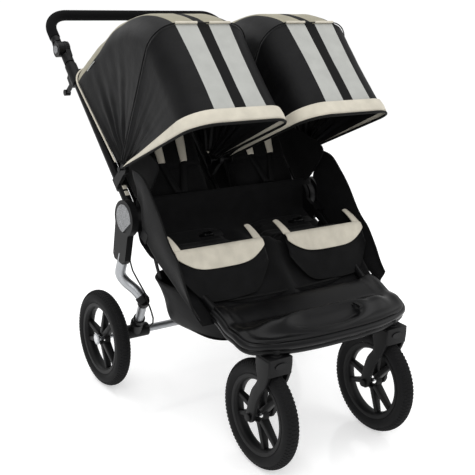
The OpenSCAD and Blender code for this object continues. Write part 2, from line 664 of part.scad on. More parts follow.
placed() at_side(1) rear_rim();  // rear_rim_left
placed() at_side(1) rear_release();  // rear_release_left
placed() at_side(-1) fork();  // fork_right
placed() at_side(-1) front_axle();  // front_axle_right
placed() at_side(-1) front_tyre();  // front_tyre_right
placed() at_side(-1) front_rim();  // front_rim_right
placed() at_side(1) fork();  // fork_left
placed() at_side(1) front_axle();  // front_axle_left
placed() at_side(1) front_tyre();  // front_tyre_left
placed() at_side(1) front_rim();  // front_rim_left
placed() at_side(-1) canopy_mid();  // canopy_mid_right
placed() at_side(-1) ridge_bow();  // ridge_bow_right
placed() at_side(-1) canopy_front();  // canopy_front_right
placed() at_side(-1) front_bow();  // front_bow_right
placed() at_side(1) canopy_mid();  // canopy_mid_left
placed() at_side(1) ridge_bow();  // ridge_bow_left
placed() at_side(1) canopy_front();  // canopy_front_left
placed() at_side(1) front_bow();  // front_bow_left
placed() at_side(-1) seat_back();  // seat_back_right
placed() at_side(1) seat_back();  // seat_back_left
placed() at_side(-1) harness();  // harness_right
placed() at_side(1) harness();  // harness_left
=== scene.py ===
"""Builds the looks of a side-by-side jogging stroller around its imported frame, as a Blender add-on run as a script."""

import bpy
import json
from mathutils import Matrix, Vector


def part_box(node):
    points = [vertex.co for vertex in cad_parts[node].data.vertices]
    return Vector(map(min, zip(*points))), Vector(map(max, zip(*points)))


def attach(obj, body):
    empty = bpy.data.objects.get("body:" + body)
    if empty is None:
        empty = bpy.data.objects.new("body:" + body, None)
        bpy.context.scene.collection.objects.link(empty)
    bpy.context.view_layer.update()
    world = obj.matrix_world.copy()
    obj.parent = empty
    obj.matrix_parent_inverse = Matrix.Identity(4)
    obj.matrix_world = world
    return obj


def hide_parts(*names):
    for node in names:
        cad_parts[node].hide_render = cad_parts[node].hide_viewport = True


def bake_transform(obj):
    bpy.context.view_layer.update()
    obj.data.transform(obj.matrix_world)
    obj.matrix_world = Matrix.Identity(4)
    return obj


bl_info = {
    "name": "Double Jogging Stroller",
    "version": (1, 0, 0),
    "blender": (4, 5, 0),
    "location": "View3D > Sidebar > Stroller",
    "description": "Cloth, wheels, mouldings and finishes of a side-by-side jogging stroller",
    "category": "Object",
}

import json
import math

import bmesh
import bpy
from mathutils import Matrix, Vector, noise

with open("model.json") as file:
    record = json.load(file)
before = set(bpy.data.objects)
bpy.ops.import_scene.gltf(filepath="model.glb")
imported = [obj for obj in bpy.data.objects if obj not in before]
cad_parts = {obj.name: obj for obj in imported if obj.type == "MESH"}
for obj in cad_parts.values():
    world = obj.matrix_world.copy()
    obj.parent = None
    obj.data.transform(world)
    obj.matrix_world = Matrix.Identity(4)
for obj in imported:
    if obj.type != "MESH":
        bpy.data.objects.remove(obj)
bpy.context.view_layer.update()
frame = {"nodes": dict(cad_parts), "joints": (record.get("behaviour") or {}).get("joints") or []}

# ---- places taken from the frame ----
JOINTS = {j["name"]: j for j in frame["joints"]}
MM = 0.001
SIDES = (("right", -1), ("left", 1))


def joint_at(name):
    return Vector(JOINTS[name]["pos_m"])


SHAFT = joint_at("fold")
HOOD = joint_at("canopy_left")
KNUCKLE = joint_at("handle_tilt")
PUSH_SLOPE = math.atan2(KNUCKLE.z - SHAFT.z, KNUCKLE.y - SHAFT.y)
TYRE_R = joint_at("rear_wheel_left_spin").z
TYRE_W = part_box("rear_tyre_left")[1].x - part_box("rear_tyre_left")[0].x
HOOD_HALF = (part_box("canopy_mid_left")[1].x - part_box("canopy_mid_left")[0].x) / 2
HOOD_X = (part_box("canopy_mid_left")[1].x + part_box("canopy_mid_left")[0].x) / 2
SEAT_IN, SEAT_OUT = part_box("seat_back_left")[0].x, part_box("seat_back_left")[1].x
SEAT_X = (SEAT_IN + SEAT_OUT) / 2
PAD_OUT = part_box("seat_pads")[1].x


def from_shaft(y, z):
    """A point in the side view, given from the fold shaft."""
    return SHAFT.y + y, SHAFT.z + z


def along_push(d, off=0.0):
    """A point in the side view, d along the push tube and off above it."""
    c, s = math.cos(PUSH_SLOPE), math.sin(PUSH_SLOPE)
    return from_shaft(d * c - off * s, d * s + off * c)


# ---- settings that a user would change ----
class StrollerSizes(bpy.types.PropertyGroup):
    tread_blocks: bpy.props.IntProperty(
        name="Tread blocks", description="Rows of tread blocks round each tyre", default=84, min=24)
    tread_depth: bpy.props.FloatProperty(
        name="Tread depth", description="Height of the tread blocks", default=1.3 * MM, unit="LENGTH")
    cloth_thickness: bpy.props.FloatProperty(
        name="Cloth thickness", description="Thickness of the hood and side cloth", default=1.2 * MM, unit="LENGTH")
    band_width: bpy.props.FloatProperty(
        name="Hood band", description="Width of the pale band at a hood's front", default=40 * MM, unit="LENGTH")
    pad_swell: bpy.props.FloatProperty(
        name="Pad swell", description="How far a seat pad may swell", default=9 * MM, unit="LENGTH")


class StrollerColours(bpy.types.PropertyGroup):
    nylon: bpy.props.StringProperty(name="Nylon", description="Coated black nylon", default="#0a0a0b")
    cream: bpy.props.StringProperty(name="Cream", description="Pale woven cloth", default="#cdc7b8")
    stripe: bpy.props.StringProperty(name="Stripe", description="Light grey stripe cloth", default="#adaeaa")
    taupe: bpy.props.StringProperty(name="Taupe", description="Cloth on top of the hoods", default="#97927f")
    moulding: bpy.props.StringProperty(name="Moulding", description="Black moulded nylon", default="#0b0b0c")
    tube: bpy.props.StringProperty(name="Tube", description="Black anodised tube", default="#0a0a0b")
    silver: bpy.props.StringProperty(name="Silver", description="Satin anodised aluminium", default="#a9abae")
    tyre: bpy.props.StringProperty(name="Tyre", description="Tyre rubber", default="#0f0f10")
    cap: bpy.props.StringProperty(name="Hinge cap", description="Speckled hinge cap", default="#7d7e80")


def sizes():
    return bpy.context.scene.stroller_sizes


def colours():
    return bpy.context.scene.stroller_colours


# ---- materials ----
def lin(text):
    """A hex sRGB colour as linear RGBA."""
    out = []
    for i in (1, 3, 5):
        v = int(text[i:i + 2], 16) / 255
        out.append(v / 12.92 if v <= 0.04045 else ((v + 0.055) / 1.055) ** 2.4)
    return (*out, 1.0)


def shade(colour, k):
    return (*(min(1.0, c * k) for c in colour[:3]), 1.0)


def add(tree, kind, links=None, **settings):
    """Adds one node, with settings on it or on its sockets, and the links into its sockets."""
    n = tree.nodes.new(kind)
    for key, value in settings.items():
        if hasattr(n, key):
            setattr(n, key, value)
        else:
            n.inputs[key.replace("_", " ").title()].default_value = value
    for socket, source in (links or {}).items():
        tree.links.new(source, n.inputs[socket])
    return n


def start_material(name, rough, metallic=0.0, **sockets):
    """A material with only its shader, and that shader's fixed sockets set."""
    m = bpy.data.materials.new(name)
    m.use_nodes = True
    t = m.node_tree
    s = t.nodes["Principled BSDF"]
    s.inputs["Roughness"].default_value = rough
    s.inputs["Metallic"].default_value = metallic
    for key, value in sockets.items():
        s.inputs[key.replace("_", " ")].default_value = value
    return m, t, s


def coords(t, scale):
    """Object coordinates, scaled so that one pattern cell is 1/scale metres."""
    c = add(t, "ShaderNodeTexCoord")
    return add(t, "ShaderNodeMapping", {"Vector": c.outputs["Object"]}, Scale=(scale, scale, scale))


def noise_on(t, cell_mm, detail=3.0, rough=0.5):
    m = coords(t, 1 / (cell_mm * MM))
    return add(t, "ShaderNodeTexNoise", {"Vector": m.outputs["Vector"]}, Scale=1.0, Detail=detail, Roughness=rough)


def two_tone(t, source, low, high, at=(0.35, 0.65)):
    """Maps a pattern's value to a colour between low and high."""
    r = add(t, "ShaderNodeValToRGB", {"Fac": source})
    r.color_ramp.elements[0].position, r.color_ramp.elements[1].position = at
    r.color_ramp.elements[0].color, r.color_ramp.elements[1].color = low, high
    return r.outputs["Color"]


def range_of(t, source, low, high):
    return add(t, "ShaderNodeMapRange", {"Value": source}, To_Min=low, To_Max=high).outputs["Result"]


def bump(t, shader, height, strength, distance, under=None):
    b = add(t, "ShaderNodeBump", {"Height": height}, Strength=strength, Distance=distance)
    if under is not None:
        t.links.new(under, b.inputs["Normal"])
    t.links.new(b.outputs["Normal"], shader.inputs["Normal"])
    return b.outputs["Normal"]


def weave(t, thread_mm):
    """Height of a plain weave, from two crossed wave patterns on the piece's own UV map, which is in metres."""
    uv = add(t, "ShaderNodeUVMap")
    waves = []
    for turn in (0.0, math.pi / 2):
        m = add(t, "ShaderNodeMapping", {"Vector": uv.outputs["UV"]}, Rotation=(0, 0, turn))
        waves.append(add(t, "ShaderNodeTexWave", {"Vector": m.outputs["Vector"]},
                         Scale=0.314 / (2 * thread_mm * MM), Distortion=0.4, Detail=1.0))
    return add(t, "ShaderNodeMath", {0: waves[0].outputs["Fac"], 1: waves[1].outputs["Fac"]},
               operation="MULTIPLY").outputs["Value"]


def nylon_cloth():
    """Polyurethane-coated nylon taffeta: dark, with soft broad highlights along its creases."""
    m, t, s = start_material("coated_nylon_taffeta", 0.5, Specular_IOR_Level=0.14)
    base = lin(colours().nylon)
    patches = noise_on(t, 60, 4.0)
    t.links.new(two_tone(t, patches.outputs["Fac"], base, shade(base, 1.5)), s.inputs["Base Color"])
    t.links.new(range_of(t, patches.outputs["Fac"], 0.44, 0.58), s.inputs["Roughness"])
    # Threads are 0.25 mm in the real cloth and 1.2 mm here, so that they show.
    fine = bump(t, s, weave(t, 1.2), 0.18, 0.2 * MM)
    bump(t, s, noise_on(t, 22, 2.0).outputs["Fac"], 0.35, 2.2 * MM, fine)
    return m


def plain_cloth(name, hex_colour, tone=0.82, thread_mm=1.4):
    """Woven polyester canvas: pale, matt, with threads and faint soiling."""
    m, t, s = start_material(name, 0.85, Sheen_Weight=0.1, Sheen_Roughness=0.5, Specular_IOR_Level=0.2)
    base = lin(hex_colour)
    cloud = noise_on(t, 45, 5.0)
    t.links.new(two_tone(t, cloud.outputs["Fac"], shade(base, tone), base, (0.3, 0.7)), s.inputs["Base Color"])
    # Threads are about 0.5 mm in the real cloth and 1.4 mm here, so that they show.
    fine = bump(t, s, weave(t, thread_mm), 0.3, 0.3 * MM)
    bump(t, s, noise_on(t, 26, 2.0).outputs["Fac"], 0.3, 1.6 * MM, fine)
    return m


def seat_cloth():
    """Black polyester oxford cloth: matt, coarser than the hood's nylon."""
    m, t, s = start_material("oxford_cloth_black", 0.8, Sheen_Weight=0.04, Sheen_Roughness=0.5,
                             Specular_IOR_Level=0.12)
    base = shade(lin(colours().nylon), 0.85)
    cloud = noise_on(t, 35, 5.0)
    t.links.new(two_tone(t, cloud.outputs["Fac"], shade(base, 0.8), shade(base, 1.5)), s.inputs["Base Color"])
    fine = bump(t, s, weave(t, 1.6), 0.35, 0.35 * MM)
    bump(t, s, noise_on(t, 18, 3.0).outputs["Fac"], 0.3, 1.6 * MM, fine)
    return m


def moulded_plastic(name, hex_colour, rough=0.48, grain_mm=1.2):
    """Injection-moulded glass-filled nylon: an even spark-eroded grain with soft highlights."""
    m, t, s = start_material(name, rough, Specular_IOR_Level=0.16, IOR=1.53)
    base = lin(hex_colour)
    cloud = noise_on(t, 40, 3.0)
    t.links.new(two_tone(t, cloud.outputs["Fac"], shade(base, 0.9), shade(base, 1.25)), s.inputs["Base Color"])
    t.links.new(range_of(t, cloud.outputs["Fac"], rough - 0.05, rough + 0.07), s.inputs["Roughness"])
    # The grain is about 0.1 mm on the real moulding and coarser here, so that it shows.
    bump(t, s, noise_on(t, grain_mm, 2.0).outputs["Fac"], 0.16, 0.12 * MM)
    return m


def speckled_cap():
    """Grey moulded cap with light and dark specks."""
    m, t, s = start_material("speckled_grey_nylon", 0.5, Specular_IOR_Level=0.45, IOR=1.53)
    base = lin(colours().cap)
    specks = noise_on(t, 2.2, 2.0, 0.7)
    t.links.new(two_tone(t, specks.outputs["Fac"], shade(base, 0.45), shade(base, 1.5), (0.4, 0.6)),
                s.inputs["Base Color"])
    bump(t, s, specks.outputs["Fac"], 0.25, 0.2 * MM)
    return m


def anodised(name, hex_colour, rough):
    """Satin anodised aluminium: a thin hard layer with a fine drawn grain."""
    m, t, s = start_material(name, rough, 1.0)
    base = lin(hex_colour)
    cloud = noise_on(t, 30, 3.0)
    t.links.new(two_tone(t, cloud.outputs["Fac"], shade(base, 0.88), base), s.inputs["Base Color"])
    t.links.new(range_of(t, cloud.outputs["Fac"], rough - 0.04, rough + 0.08), s.inputs["Roughness"])
    bump(t, s, noise_on(t, 1.5, 1.0).outputs["Fac"], 0.08, 0.05 * MM)
    return m


def black_tube():
    """Black anodised tube: dark and satin, with faint rubs."""
    m, t, s = start_material("black_anodised_tube", 0.34, Specular_IOR_Level=0.16)
    base = lin(colours().tube)
    rubs = noise_on(t, 14, 6.0, 0.7)
    t.links.new(two_tone(t, rubs.outputs["Fac"], base, shade(base, 2.2), (0.62, 0.8)), s.inputs["Base Color"])
    t.links.new(range_of(t, rubs.outputs["Fac"], 0.28, 0.45), s.inputs["Roughness"])
    return m


def tyre_rubber():
    """Carbon-black rubber: dull, slightly dusty in the tread."""
    m, t, s = start_material("tyre_rubber", 0.72, Specular_IOR_Level=0.15, IOR=1.52)
    base = lin(colours().tyre)
    dust = noise_on(t, 16, 5.0, 0.6)
    t.links.new(two_tone(t, dust.outputs["Fac"], base, shade(base, 1.8), (0.45, 0.85)), s.inputs["Base Color"])
    t.links.new(range_of(t, dust.outputs["Fac"], 0.6, 0.82), s.inputs["Roughness"])
    bump(t, s, noise_on(t, 1.1, 2.0).outputs["Fac"], 0.25, 0.15 * MM)
    return m


def foam():
    """Closed-cell foam sleeve: matt black with fine pores."""
    m, t, s = start_material("closed_cell_foam", 0.88, Specular_IOR_Level=0.1)
    base = shade(lin(colours().tyre), 0.7)
    pores = noise_on(t, 1.8, 4.0, 0.7)
    t.links.new(two_tone(t, pores.outputs["Fac"], shade(base, 0.7), shade(base, 1.4)), s.inputs["Base Color"])
    bump(t, s, pores.outputs["Fac"], 0.5, 0.3 * MM)
    return m


def webbing(name, hex_colour):
    """Woven polyester webbing: ribs across a narrow flat strap."""
    m, t, s = start_material(name, 0.7, Specular_IOR_Level=0.15)
    base = lin(hex_colour)
    height = weave(t, 2.0)
    # The colour follows the weave's height: painted shade in the hollows between the threads and a painted highlight on
    # their crowns.
    t.links.new(two_tone(t, height, shade(base, 0.75), shade(base, 1.15), (0.1, 0.7)), s.inputs["Base Color"])
    bump(t, s, height, 0.5, 0.4 * MM)
    return m


MATERIAL_MAKERS = {
    "nylon": nylon_cloth,
    "seat": seat_cloth,
    "cream": lambda: plain_cloth("canvas_cream", colours().cream),
    "stripe": lambda: plain_cloth("canvas_light_grey", colours().stripe, 0.88),
    "taupe": lambda: plain_cloth("canvas_taupe", colours().taupe, 0.8),
    "moulding": lambda: moulded_plastic("moulded_nylon_black", colours().moulding),
    "gloss": lambda: moulded_plastic("moulded_nylon_smooth", colours().moulding, 0.3, 3.0),
    "cap": speckled_cap,
    "button": lambda: moulded_plastic("moulded_nylon_grey", colours().cap, 0.45),
    "silver": lambda: anodised("anodised_silver", colours().silver, 0.36),
    "steel": lambda: anodised("turned_steel", "#c2c3c5", 0.25),
    "tube": black_tube,
    "tyre": tyre_rubber,
    "foam": foam,
    "webbing": lambda: webbing("webbing_black", "#0e0e0f"),
    "binding": lambda: webbing("binding_tape_black", "#0a0a0a"),
}
made_materials = {}


def material(key):
    if key not in made_materials:
        made_materials[key] = MATERIAL_MAKERS[key]()
    return made_materials[key]


# ---- mesh helpers ----
def piece(name, bm, materials, body=None, replaces=(), smooth=35.0):
    """Makes an object of a finished bmesh, with its materials, its body and the nodes that it stands for."""
    mesh = bpy.data.meshes.new(name)
    bm.normal_update()
    bm.to_mesh(mesh)
    bm.free()
    o = bpy.data.objects.new(name, mesh)
    bpy.context.scene.collection.objects.link(o)
    for key in [materials] if isinstance(materials, str) else materials:
        mesh.materials.append(material(key))
    mesh.shade_smooth()
    if smooth:
        mesh.set_sharp_from_angle(angle=math.radians(smooth))
    if body:
        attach(o, body)
    if replaces:
        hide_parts(*replaces)
    return o


def cloth(o, flat, held, *on):
    """Works out a sheet of cloth's single-layer area, and a length from that area where it does not fit the cut size;
    nothing is kept.
    """
    area = sum(p.area for p in o.data.polygons)
    width, length = flat
    if not 0.3 * width * length < area < width * length:
        length = area / width


def thicken(o, thickness, offset=-1.0):
    m = o.modifiers.new("thickness", "SOLIDIFY")
    m.thickness = thickness
    m.offset = offset
    m.use_even_offset = True
    return o


def soften(o, levels=1):
    m = o.modifiers.new("smooth", "SUBSURF")
    m.levels = m.render_levels = levels
    return o


def sheet_mesh(nu, nv, place, uv_size=(1.0, 1.0), pick=None, wrap=False):
    """A grid whose corners (u, v) from 0 to 1 go where place(u, v) says. The UV map is in metres, for weaves."""
    bm = bmesh.new()
    uv = bm.loops.layers.uv.new("UVMap")
    bmesh.ops.create_grid(bm, x_segments=nu, y_segments=nv, size=0.5, calc_uvs=False)
    for f in bm.faces:
        middle = f.calc_center_median()
        for loop in f.loops:
            loop[uv].uv = ((loop.vert.co.x + 0.5) * uv_size[0], (loop.vert.co.y + 0.5) * uv_size[1])
        if pick:
            f.material_index = pick(middle.x + 0.5, middle.y + 0.5)
    for v in bm.verts:
        v.co = Vector(place(v.co.x + 0.5, v.co.y + 0.5))
    if wrap:
        bmesh.ops.remove_doubles(bm, verts=bm.verts, dist=1e-5)
    bmesh.ops.recalc_face_normals(bm, faces=bm.faces)
    return bm


def flip(bm):
    bmesh.ops.reverse_faces(bm, faces=bm.faces)
    return bm


def tube_mesh(points, radius, sides=12, closed=False):
    """A round tube along points, smoothed by a Bezier-like spline, as a bmesh with a UV layer named UVMap."""
    curve = bpy.data.curves.new("path", "CURVE")
    curve.dimensions = "3D"
    curve.bevel_depth = radius
    curve.bevel_resolution = max(1, sides // 4 - 1)
    curve.use_fill_caps = True
    line = curve.splines.new("NURBS")
    line.points.add(len(points) - 1)
    for p, co in zip(line.points, points):
        p.co = (*co, 1.0)
    line.use_endpoint_u = True
    line.use_cyclic_u = closed
    line.order_u = 3
    line.resolution_u = 3
    o = bpy.data.objects.new("path", curve)
    mesh = o.to_mesh()
    bm = bmesh.new()
    bm.from_mesh(mesh)
    o.to_mesh_clear()
    bpy.data.objects.remove(o)
    bpy.data.curves.remove(curve)
    if "UVMap" not in bm.loops.layers.uv:
        bm.loops.layers.uv.new("UVMap")
    bmesh.ops.remove_doubles(bm, verts=bm.verts, dist=1e-6)
    return bm


def joined(*parts):
    """One bmesh of several, which are used up."""
    out = parts[0]
    for part in parts[1:]:
        mesh = bpy.data.meshes.new("part")
        part.to_mesh(mesh)
        part.free()
        out.from_mesh(mesh)
        bpy.data.meshes.remove(mesh)
    return out


def moved(bm, matrix):
    bmesh.ops.transform(bm, matrix=matrix, verts=bm.verts)
    if matrix.determinant() < 0:
        bmesh.ops.reverse_faces(bm, faces=bm.faces)
    return bm


def on_side(bm, s):
    """The right-hand copy of something modelled on the left."""
    return bm if s > 0 else moved(bm, Matrix.Scale(-1, 4, (1, 0, 0)))


def drum(radius, x0, x1, y, z, bevel=0.0, segments=48):
    """A round boss on an axis along X."""
    bm = bmesh.new()
    bmesh.ops.create_cone(bm, cap_ends=True, segments=segments, radius1=radius, radius2=radius, depth=abs(x1 - x0))
    if bevel:
        edges = [e for e in bm.edges if len(e.link_faces) == 2 and e.calc_face_angle() > 1.0]
        bmesh.ops.bevel(bm, geom=edges, offset=bevel, segments=3, affect="EDGES", profile=0.5, material=-1)
    turn = Matrix.Translation(((x0 + x1) / 2, y, z)) @ Matrix.Rotation(math.pi / 2, 4, "Y")
    return moved(bm, turn)


def block(size, at, bevel=0.0, turn=Matrix.Identity(4), segments=3):
    bm = bmesh.new()
    bmesh.ops.create_cube(bm, size=1.0)
    bmesh.ops.scale(bm, vec=size, verts=bm.verts)
    if bevel:
        bmesh.ops.bevel(bm, geom=bm.edges[:], offset=bevel, segments=segments, affect="EDGES", profile=0.5, material=-1)
    return moved(bm, Matrix.Translation(at) @ turn)


def plate(outline, x0, x1, bevel=0.0, segments=3):
    """A side-view outline in (y, z), extruded along X from x0 to x1, with rounded edges."""
    bm = bmesh.new()
    verts = [bm.verts.new((x0, y, z)) for y, z in outline]
    face = bm.faces.new(verts)
    out = bmesh.ops.extrude_face_region(bm, geom=[face])
    bmesh.ops.translate(bm, vec=(x1 - x0, 0, 0), verts=[g for g in out["geom"] if isinstance(g, bmesh.types.BMVert)])
    bmesh.ops.recalc_face_normals(bm, faces=bm.faces)
    if bevel:
        rim = [e for e in bm.edges if abs(e.verts[0].co.x - e.verts[1].co.x) < 1e-6]
        bmesh.ops.bevel(bm, geom=rim, offset=bevel, segments=segments, affect="EDGES", profile=0.5, material=-1)
    return bm


def curve_through(points, count):
    """Evenly spread points on a smooth curve through the given ones."""
    out = []
    spans = len(points) - 1
    for i in range(count):
        t = i / (count - 1) * spans
        k = min(int(t), spans - 1)
        f = t - k
        p = [Vector(points[max(0, min(spans, k + j))]) for j in (-1, 0, 1, 2)]
        out.append(0.5 * (2 * p[1] + (p[2] - p[0]) * f + (2 * p[0] - 5 * p[1] + 4 * p[2] - p[3]) * f * f
                          + (3 * p[1] - p[0] - 3 * p[2] + p[3]) * f ** 3))
    return out


def paint(node, key):
    """Gives a CAD node its finish."""
    o = frame["nodes"][node]
    o.data.materials.clear()
    o.data.materials.append(material(key))


def smooth_step(a, b, x):
    t = max(0.0, min(1.0, (x - a) / (b - a)))
    return t * t * (3 - 2 * t)


# ---- wheels ----
RIM_OUT = TYRE_R - 39.7 * MM


def tyre_mesh():
    """A tyre about the X axis at the origin: a spun section, with its tread faces raised in blocks."""
    r, half = TYRE_R - sizes().tread_depth, TYRE_W / 2
    mid = r - half
    bm = bmesh.new()
    section = []
    for k in range(19):
        a = math.radians(-132 + 264 * k / 18)
        bulge = 1.0 - 0.05 * math.exp(-((abs(math.degrees(a)) - 62) / 9) ** 2)
        section.append(bm.verts.new((half * bulge * math.sin(a), 0, mid + half * bulge * math.cos(a))))
    edges = [bm.edges.new((section[k], section[k + 1])) for k in range(18)]
    steps = sizes().tread_blocks * 2
    bmesh.ops.spin(bm, geom=section + edges, cent=(0, 0, 0), axis=(1, 0, 0), angle=math.tau, steps=steps,
                   use_merge=True)
    bmesh.ops.remove_doubles(bm, verts=bm.verts, dist=1e-6)
    bmesh.ops.recalc_face_normals(bm, faces=bm.faces)
    blocks = []
    for f in bm.faces:
        c = f.calc_center_median()
        turn = math.atan2(c.z, c.y) / math.tau * steps
        lean = math.degrees(math.atan2(c.x, math.hypot(c.y, c.z) - mid))
        row = round((lean + 48) / 14.67)
        if abs(lean) < 52 and (int(math.floor(turn + 0.01 + (row % 3 == 0))) + row) % 2 == 0:
            blocks.append(f)
    out = bmesh.ops.extrude_discrete_faces(bm, faces=blocks)
    for f in out["faces"]:
        c = f.calc_center_median()
        away = Vector((c.x, c.y, c.z)) - Vector((0, c.y, c.z)).normalized() * mid
        for v in f.verts:
            v.co += away.normalized() * sizes().tread_depth + (c - v.co) * 0.1
    return bm


def spoke_pair():
    """One V of two moulded spokes about +Z."""
    parts = []
    for lean in (-1, 1):
        a = math.radians(17 * lean)
        foot, head = Vector((0, 7 * MM * lean, 20 * MM)), Vector((0, math.sin(a) * 98 * MM, math.cos(a) * 98 * MM))
        d = head - foot
        bm = bmesh.new()
        bmesh.ops.create_cube(bm, size=1.0)
        for v in bm.verts:
            far = v.co.z > 0
            v.co.x *= (17 if far else 25) * MM
            v.co.y *= (13 if far else 17) * MM
            v.co.z *= d.length + 6 * MM
        bmesh.ops.bevel(bm, geom=bm.edges[:], offset=3 * MM, segments=2, affect="EDGES", profile=0.5, material=-1)
        parts.append(moved(bm, Matrix.Translation((foot + head) / 2) @ d.to_track_quat("Z", "X").to_matrix().to_4x4()
                           @ Matrix.Rotation(math.pi / 2, 4, "Z")))
    return joined(*parts)


def rim_mesh(hub_half):
    """A wheel's rim, hub and spokes about the X axis at the origin."""
    r = RIM_OUT
    outline = [(-13, r - 14 * MM), (-17, r - 10 * MM), (-18, r - 4 * MM), (-17.5, r), (-14, r + 0.2 * MM),
               (-11, r - 4 * MM), (11, r - 4 * MM), (14, r + 0.2 * MM), (17.5, r), (18, r - 4 * MM),
               (17, r - 10 * MM), (13, r - 14 * MM), (8, r - 17 * MM), (-8, r - 17 * MM)]
    hub = [(-hub_half, 11), (-hub_half, 17), (-hub_half + 3, 19), (-hub_half + 7, 21), (-10, 26), (10, 26),
           (hub_half - 7, 21), (hub_half - 3, 19), (hub_half, 17), (hub_half, 11)]
    parts = []
    for ring, closed in (([(x * MM, z) for x, z in outline], True), ([(x * MM, z * MM) for x, z in hub], False)):
        bm = bmesh.new()
        verts = [bm.verts.new((x, 0, z)) for x, z in ring]
        edges = [bm.edges.new((verts[k], verts[(k + 1) % len(verts)])) for k in range(len(verts) - (not closed))]
        bmesh.ops.spin(bm, geom=verts + edges, cent=(0, 0, 0), axis=(1, 0, 0), angle=math.tau, steps=72,
                       use_merge=True)
        bmesh.ops.remove_doubles(bm, verts=bm.verts, dist=1e-6)
        bmesh.ops.recalc_face_normals(bm, faces=bm.faces)
        parts.append(bm)
    for k in range(3):
        parts.append(moved(spoke_pair(), Matrix.Rotation(math.radians(120 * k - 95), 4, "X")))
    return joined(*parts)


class STROLLER_OT_wheels(bpy.types.Operator):
    """Makes the four air tyres and their moulded rims"""
    bl_idname = "stroller.wheels"
    bl_label = "Wheels"

    def execute(self, context):
        for end, hub_half in (("rear", 26 * MM), ("front", 24 * MM)):
            for side, s in SIDES:
                at = Matrix.Translation(joint_at(f"{end}_wheel_{side}_spin"))
                body = f"{end}_wheel_{side}"
                piece(f"{end}_tyre_{side}_tread", moved(tyre_mesh(), at), "tyre", body,
                      [f"{end}_tyre_{side}"])
                rim = on_side(rim_mesh(hub_half), s)
                piece(f"{end}_rim_{side}_moulded", moved(rim, at), "moulding", body,
                      [f"{end}_rim_{side}"])
        for side, s in SIDES:
            c = joint_at(f"front_wheel_{side}_spin")
            parts = [drum(11 * MM, c.x + k * 40 * MM, c.x + k * 46 * MM, c.y, c.z, 1.5 * MM) for k in (-1, 1)]
            piece(f"front_axle_nuts_{side}", joined(*parts), "moulding", f"caster_{side}")
            c = joint_at(f"rear_wheel_{side}_spin")
            ring = drum(18 * MM, c.x + s * 24 * MM, c.x + s * 27 * MM, c.y, c.z, 1 * MM)
            piece(f"rear_hub_ring_{side}", ring, "silver", f"rear_wheel_{side}")
            paint(f"rear_release_{side}", "steel")
        return {"FINISHED"}


# ---- forks ----
class STROLLER_OT_forks(bpy.types.Operator):
    """Makes the two moulded swivel forks"""
    bl_idname = "stroller.forks"
    bl_label = "Forks"

    def execute(self, context):
        for side, s in SIDES:
            low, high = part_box(f"fork_{side}")
            axle = joint_at(f"front_wheel_{side}_spin")
            pivot = joint_at(f"caster_{side}_swivel")
            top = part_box("caster_housings")[0].z - 2 * MM
            x, half = axle.x, (high.x - low.x) / 2
            front = [(pivot.y - 0.026, top - 0.004), (pivot.y - 0.027, top - 0.034), (pivot.y - 0.016, top - 0.075),
                     (axle.y - 0.034, axle.z + 0.070), (axle.y - 0.017, axle.z + 0.008)]
            foot = [(axle.y + 0.016 * math.cos(a), axle.z + 0.016 * math.sin(a))
                    for a in [math.radians(190 + 20 * k) for k in range(9)]]
            back = [(axle.y + 0.015, axle.z + 0.014), (axle.y + 0.000, axle.z + 0.078),
                    (pivot.y + 0.022, top - 0.072), (pivot.y + 0.030, top - 0.036), (pivot.y + 0.033, top - 0.004)]
            outline = ([tuple(p) for p in curve_through([(*p, 0) for p in front], 16)]
                       + [(*p, 0) for p in foot] + [tuple(p) for p in curve_through([(*p, 0) for p in back], 16)])
            outline = [(p[0], p[1]) for p in outline]
            parts = []
            for k in (-1, 1):
                x0, x1 = x + k * (half - 0.0125), x + k * half
                parts.append(plate(outline, min(x0, x1), max(x0, x1), 3.5 * MM))
            arch = []
            reach = TYRE_R + 0.008
            for k in range(13):
                y = pivot.y - 0.028 + 0.063 * k / 12
                arch.append((y, axle.z + math.sqrt(reach ** 2 - (y - axle.y) ** 2)))
            head = arch + [(pivot.y + 0.035, top), (pivot.y - 0.028, top)]
            parts.append(plate(head, x - half + 0.002, x + half - 0.002, 3 * MM))
            post = bmesh.new()
            bmesh.ops.create_cone(post, cap_ends=True, segments=48, radius1=20 * MM, radius2=17 * MM, depth=6 * MM)
            parts.append(moved(post, Matrix.Translation((x, pivot.y, top - 1 * MM))))
            piece(f"fork_{side}_moulded", joined(*parts), "moulding", f"caster_{side}",
                  [f"fork_{side}"])
            ring = bmesh.new()
            bmesh.ops.create_circle(ring, segments=40, radius=1.0, cap_ends=True)
            bmesh.ops.inset_region(ring, faces=ring.faces[:], thickness=0.12, depth=0.0)
            inner = [f for f in ring.faces if f.calc_area() > 1.0]
            out = bmesh.ops.extrude_face_region(ring, geom=inner)
            bmesh.ops.translate(ring, vec=(0, 0, -0.30), verts=[g for g in out["geom"]
                                                                if isinstance(g, bmesh.types.BMVert)])
            bmesh.ops.scale(ring, vec=(0.019, 0.009, 0.012), verts=ring.verts)
            face = Matrix.Translation((x, pivot.y - 0.0306, top - 0.022)) @ Matrix.Rotation(math.pi / 2, 4, "X")
            piece(f"fork_{side}_recess", moved(ring, face), "gloss", f"caster_{side}")
            paint(f"front_axle_{side}", "steel")
        return {"FINISHED"}


# ---- hoods ----
HOOD_BACK, HOOD_RIDGE, HOOD_FRONT = 37.0, 111.5, 151.5
REACH_RIDGE, REACH_FRONT = 0.457, 0.439     # from the pivot to the hood's middle, at its two bows
HOOD_REACH = [(37, 0.414), (50, 0.402), (64, 0.402), (80, 0.424), (96, 0.446), (HOOD_RIDGE, REACH_RIDGE)]
SHOULDER = 0.078                    # radius of the arch's two corners
HOOD_FOOT = 0.03                    # where an arch starts, out from the pivot


